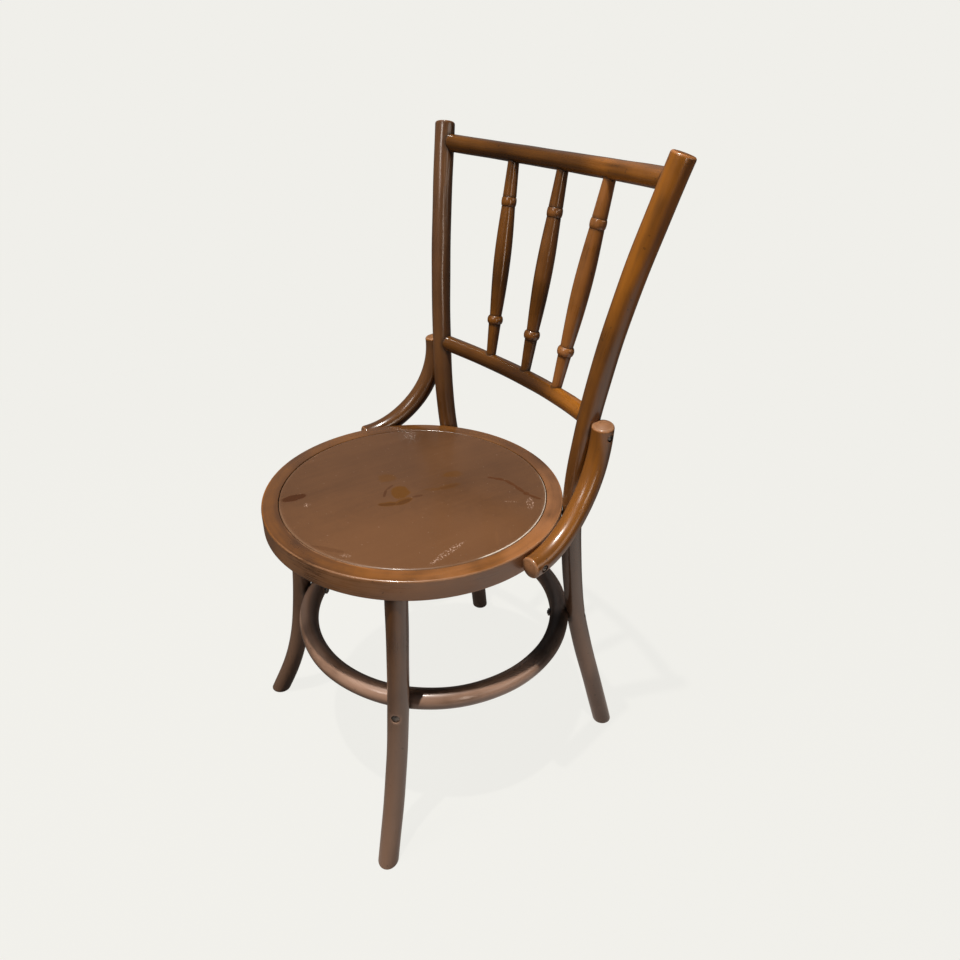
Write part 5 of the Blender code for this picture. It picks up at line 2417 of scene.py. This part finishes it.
@dataclass
class Studio:
    """Pale floor, soft studio light and the camera."""

    backdrop: Colour = (0.871, 0.863, 0.823)
    floor_radius: float = 40.0
    floor_rings: int = 8
    floor_sides: int = 64
    shade_share: float = 0.045
    shade_span: Span = (1.9, 0.4)
    shade_gain: float = 0.85
    bounce: float = 0.86
    bounce_tint: Colour = (1.0, 0.86, 0.76)
    bounce_place: Triple = (1.00, 0.10, 0.0)
    bounce_span: Span = (1.20, 0.45)
    bounce_rest: float = 0.08
    sky: float = 0.12
    sky_shade: float = 0.020
    sky_toward: Triple = (-0.62, -0.45, 0.64)
    sky_span: Span = (-0.4, 0.8)
    sky_tint: Colour = (0.92, 0.96, 1.0)
    aim_height: float = 0.45
    boxes: tuple[SoftBox, ...] = (
        SoftBox("key_light", (0.050, -0.215, 0.975), 8.0, 0.17, 0.17, 800.0, (1.0, 0.965, 0.91)),
        SoftBox("front_light", (-0.10, -0.72, 0.69), 3.2, 1.4, 1.4, 42.0, (1.0, 0.97, 0.93), glossy=False),
        SoftBox("strip_light", (0.947, -0.201, 0.250), 3.0, 0.4, 1.5, 9.5, (1.0, 0.87, 0.74), diffuse=False),
        SoftBox("side_sky", (0.826, 0.421, 0.375), 4.0, 3.6, 1.4, 21.0, (1.0, 0.94, 0.84), diffuse=False),
        SoftBox("back_sky", (-0.740, 0.400, 0.540), 4.0, 3.6, 2.6, 2.2, (0.97, 0.98, 1.0), diffuse=False),
        SoftBox("front_glint", (0.215, -0.784, 0.582), 3.2, 0.85, 0.85, 15, (1, 0.94, 0.88), diffuse=False),
        SoftBox("back_fill", (-0.25, 0.95, 0.18), 3.5, 2.2, 2.2, 20.0, (1.0, 0.97, 0.93), glossy=False),
    )
    camera_place: Triple = (0.74123, -0.4553, 0.96361)
    camera_yaw: float = 0.939254
    camera_pitch: float = 0.529508
    camera_roll: float = -0.023714
    camera_reach: float = 200.0
    sensor: float = 36.0
    image_side: float = 960.0
    focal_pixels: float = 713.303
    centre_pixel: Place = (482.033, 480.423)

    def floor(self) -> None:
        """Lays the floor.

        It is a flat disc: radius and angle on a grid, with rings closer together towards the
        middle, which one face closes.
        """
        rings, sides = self.floor_rings, self.floor_sides
        radius = np.linspace(0.5, 1.0, rings) ** 4 * self.floor_radius
        angle = circle(sides)
        x, y = np.outer(radius, np.cos(angle)), np.outer(radius, np.sin(angle))
        flat = np.stack([x, y, np.zeros_like(x)], axis=-1).reshape(-1, 3)
        i, j = np.meshgrid(np.arange(rings - 1), np.arange(sides), indexing="ij")
        inner, outer, right = i * sides, (i + 1) * sides, (j + 1) % sides
        quads = np.stack([inner + j, outer + j, outer + right, inner + right], axis=-1).reshape(-1, 4)
        mesh = bpy.data.meshes.new("studio_floor")
        mesh.from_pydata(flat, [], [*quads.tolist(), list(range(sides))])
        mesh.materials.append(self.floor_finish())
        floor = bpy.data.objects.new("studio_floor", mesh)
        bpy.context.scene.collection.objects.link(floor)

    def floor_finish(self) -> bpy.types.Material:
        """An even pale tone with a faint share of true shade, and a patch that lights the chair.

        Returns:
            The material.
        """
        graph = Graph(bpy.data.materials.new("pale_studio_floor"))
        place = graph.place()
        from_middle = graph.vector("LENGTH", place, output="Value")
        share = graph.times(graph.step(from_middle, self.shade_span), self.shade_share)
        glow = graph.add("Emission", {"Color": self.backdrop, "Strength": graph.rest(share)})
        pale = tuple(self.shade_gain * part for part in self.backdrop)
        shade = graph.add("BsdfDiffuse", {"Color": graph.mix((0.0, 0.0, 0.0), pale, share)})
        seen = graph.add("AddShader", {0: glow.outputs[0], 1: shade.outputs[0]})
        apart = graph.vector("DISTANCE", place, self.bounce_place, output="Value")
        power = graph.step(apart, self.bounce_span, self.bounce_rest, self.bounce)
        bounce = graph.add("Emission", {"Color": self.bounce_tint, "Strength": power})
        graph.surface(seen, bounce, "Material Output")
        graph.tree.nodes.remove(graph.tree.nodes["Principled BSDF"])
        return graph.owner

    def hang(self, box: SoftBox) -> None:
        """Hangs a soft light, aimed at the seat and out of the camera's sight.

        Args:
            box: the light.
        """
        light = bpy.data.lights.new(box.name, "AREA")
        light.shape, light.size, light.size_y = "ELLIPSE", box.width, box.height
        light.energy, light.color = box.power, box.tint
        lamp = bpy.data.objects.new(box.name, light)
        direction = Vector(box.toward).normalized()
        lamp.location = Vector((0, 0, self.aim_height)) + direction * box.distance
        lamp.rotation_euler = direction.to_track_quat("Z", "Y").to_euler()
        lamp.visible_camera = False
        lamp.visible_diffuse, lamp.visible_glossy = box.diffuse, box.glossy
        bpy.context.scene.collection.objects.link(lamp)

    def surroundings(self) -> None:
        """Sets up the world.

        Its light is brighter above and on one side and dark opposite: a smooth step of how far a
        direction leans towards the sky's. What is seen of it directly is a plain pale backdrop.
        """
        graph = Graph(bpy.data.worlds.new("studio_room"))
        bpy.context.scene.world = graph.owner
        plain = graph.tree.nodes["Background"]
        graph.plug(plain.inputs["Color"], self.backdrop)
        toward = Vector(self.sky_toward).normalized()
        lean = graph.vector("DOT_PRODUCT", graph.place("Generated"), toward, output="Value")
        power = graph.step(lean, self.sky_span, self.sky_shade, self.sky)
        room = graph.add("Background", {"Color": self.sky_tint, "Strength": power})
        graph.surface(plain, room, "World Output")

    def camera(self) -> None:
        """Sets up the camera.

        Yaw and pitch turn the view, roll tips it round the line of sight, and the lens is shifted
        so that its centre falls a little off the middle of the image.
        """
        yaw, pitch = self.camera_yaw, self.camera_pitch
        flat = math.cos(pitch)
        forward = Vector((-math.sin(yaw) * flat, math.cos(yaw) * flat, -math.sin(pitch)))
        right = forward.cross(Vector((0, 0, 1))).normalized()
        down = forward.cross(right)
        c, s = math.cos(self.camera_roll), math.sin(self.camera_roll)
        across, fall = c * right + s * down, c * down - s * right
        lens = bpy.data.cameras.new("studio_camera")
        lens.sensor_width = self.sensor
        lens.lens = self.focal_pixels / self.image_side * self.sensor
        lens.shift_x = (self.image_side / 2 - self.centre_pixel[0]) / self.image_side
        lens.shift_y = (self.centre_pixel[1] - self.image_side / 2) / self.image_side
        lens.clip_end = self.camera_reach
        camera = bpy.data.objects.new("studio_camera", lens)
        turn = Matrix((across, -fall, -forward)).transposed().to_4x4()
        camera.matrix_world = Matrix.Translation(self.camera_place) @ turn
        bpy.context.scene.collection.objects.link(camera)
        bpy.context.scene.camera = camera

    def build(self) -> None:
        """Sets up the studio.

        That is floor, lights, world and camera, with colours shown as they are.
        """
        self.floor()
        for box in self.boxes:
            self.hang(box)
        self.surroundings()
        self.camera()
        bpy.context.scene.view_settings.view_transform = "Standard"
        bpy.context.scene.view_settings.look = "None"


def main() -> None:
    """Builds everything, each piece logged as it is made.

    The finishes come first, then the chair's sub-assemblies and the studio.
    """
    logging.basicConfig(level=logging.INFO, format="%(name)s: %(message)s")
    bent = VarnishedWood("varnished_bent_beech", pale=(0.163, 0.062, 0.012), deep=(0.052, 0.019, 0.005))
    turned_wood = VarnishedWood(
        "varnished_turned_beech",
        pale=(0.150, 0.052, 0.004),
        deep=(0.043, 0.015, 0.0025),
        bleach_and_light_amount=0.90,
        bleach_and_light_aside=(0.03, 0.10),
        bleach_and_light_heights=(0.50, 0.60),
        crest=0.0,
        painted_sheen_amount=0.0,
        roughness=0.25,
        coat=0.80,
        coat_worn=0.0,
        coat_roughness=0.12,
    )
    finishes = {
        Slot.BENT: bent.make(),
        Slot.TURNED: turned_wood.make(),
        Slot.SEAT: SeatVeneer("varnished_seat_veneer").make(),
        Slot.STEEL: DullSteel("dull_dark_steel").make(),
    }
    maker = Maker(finishes)
    axes, fastener = Axes(), Fastener()
    back = SpindleBack(axes)
    braces = HipBraces(axes, fastener)
    joints = {side: (*back.joints(side), braces.joint(side)) for side in Side}
    Seat().build(maker)
    LegFrame(axes, fastener).build(maker, joints)
    back.build(maker)
    braces.build(maker)
    Studio().build()
    LOG.info("%d pieces made", maker.made)


if __name__ == "__main__":
    main()
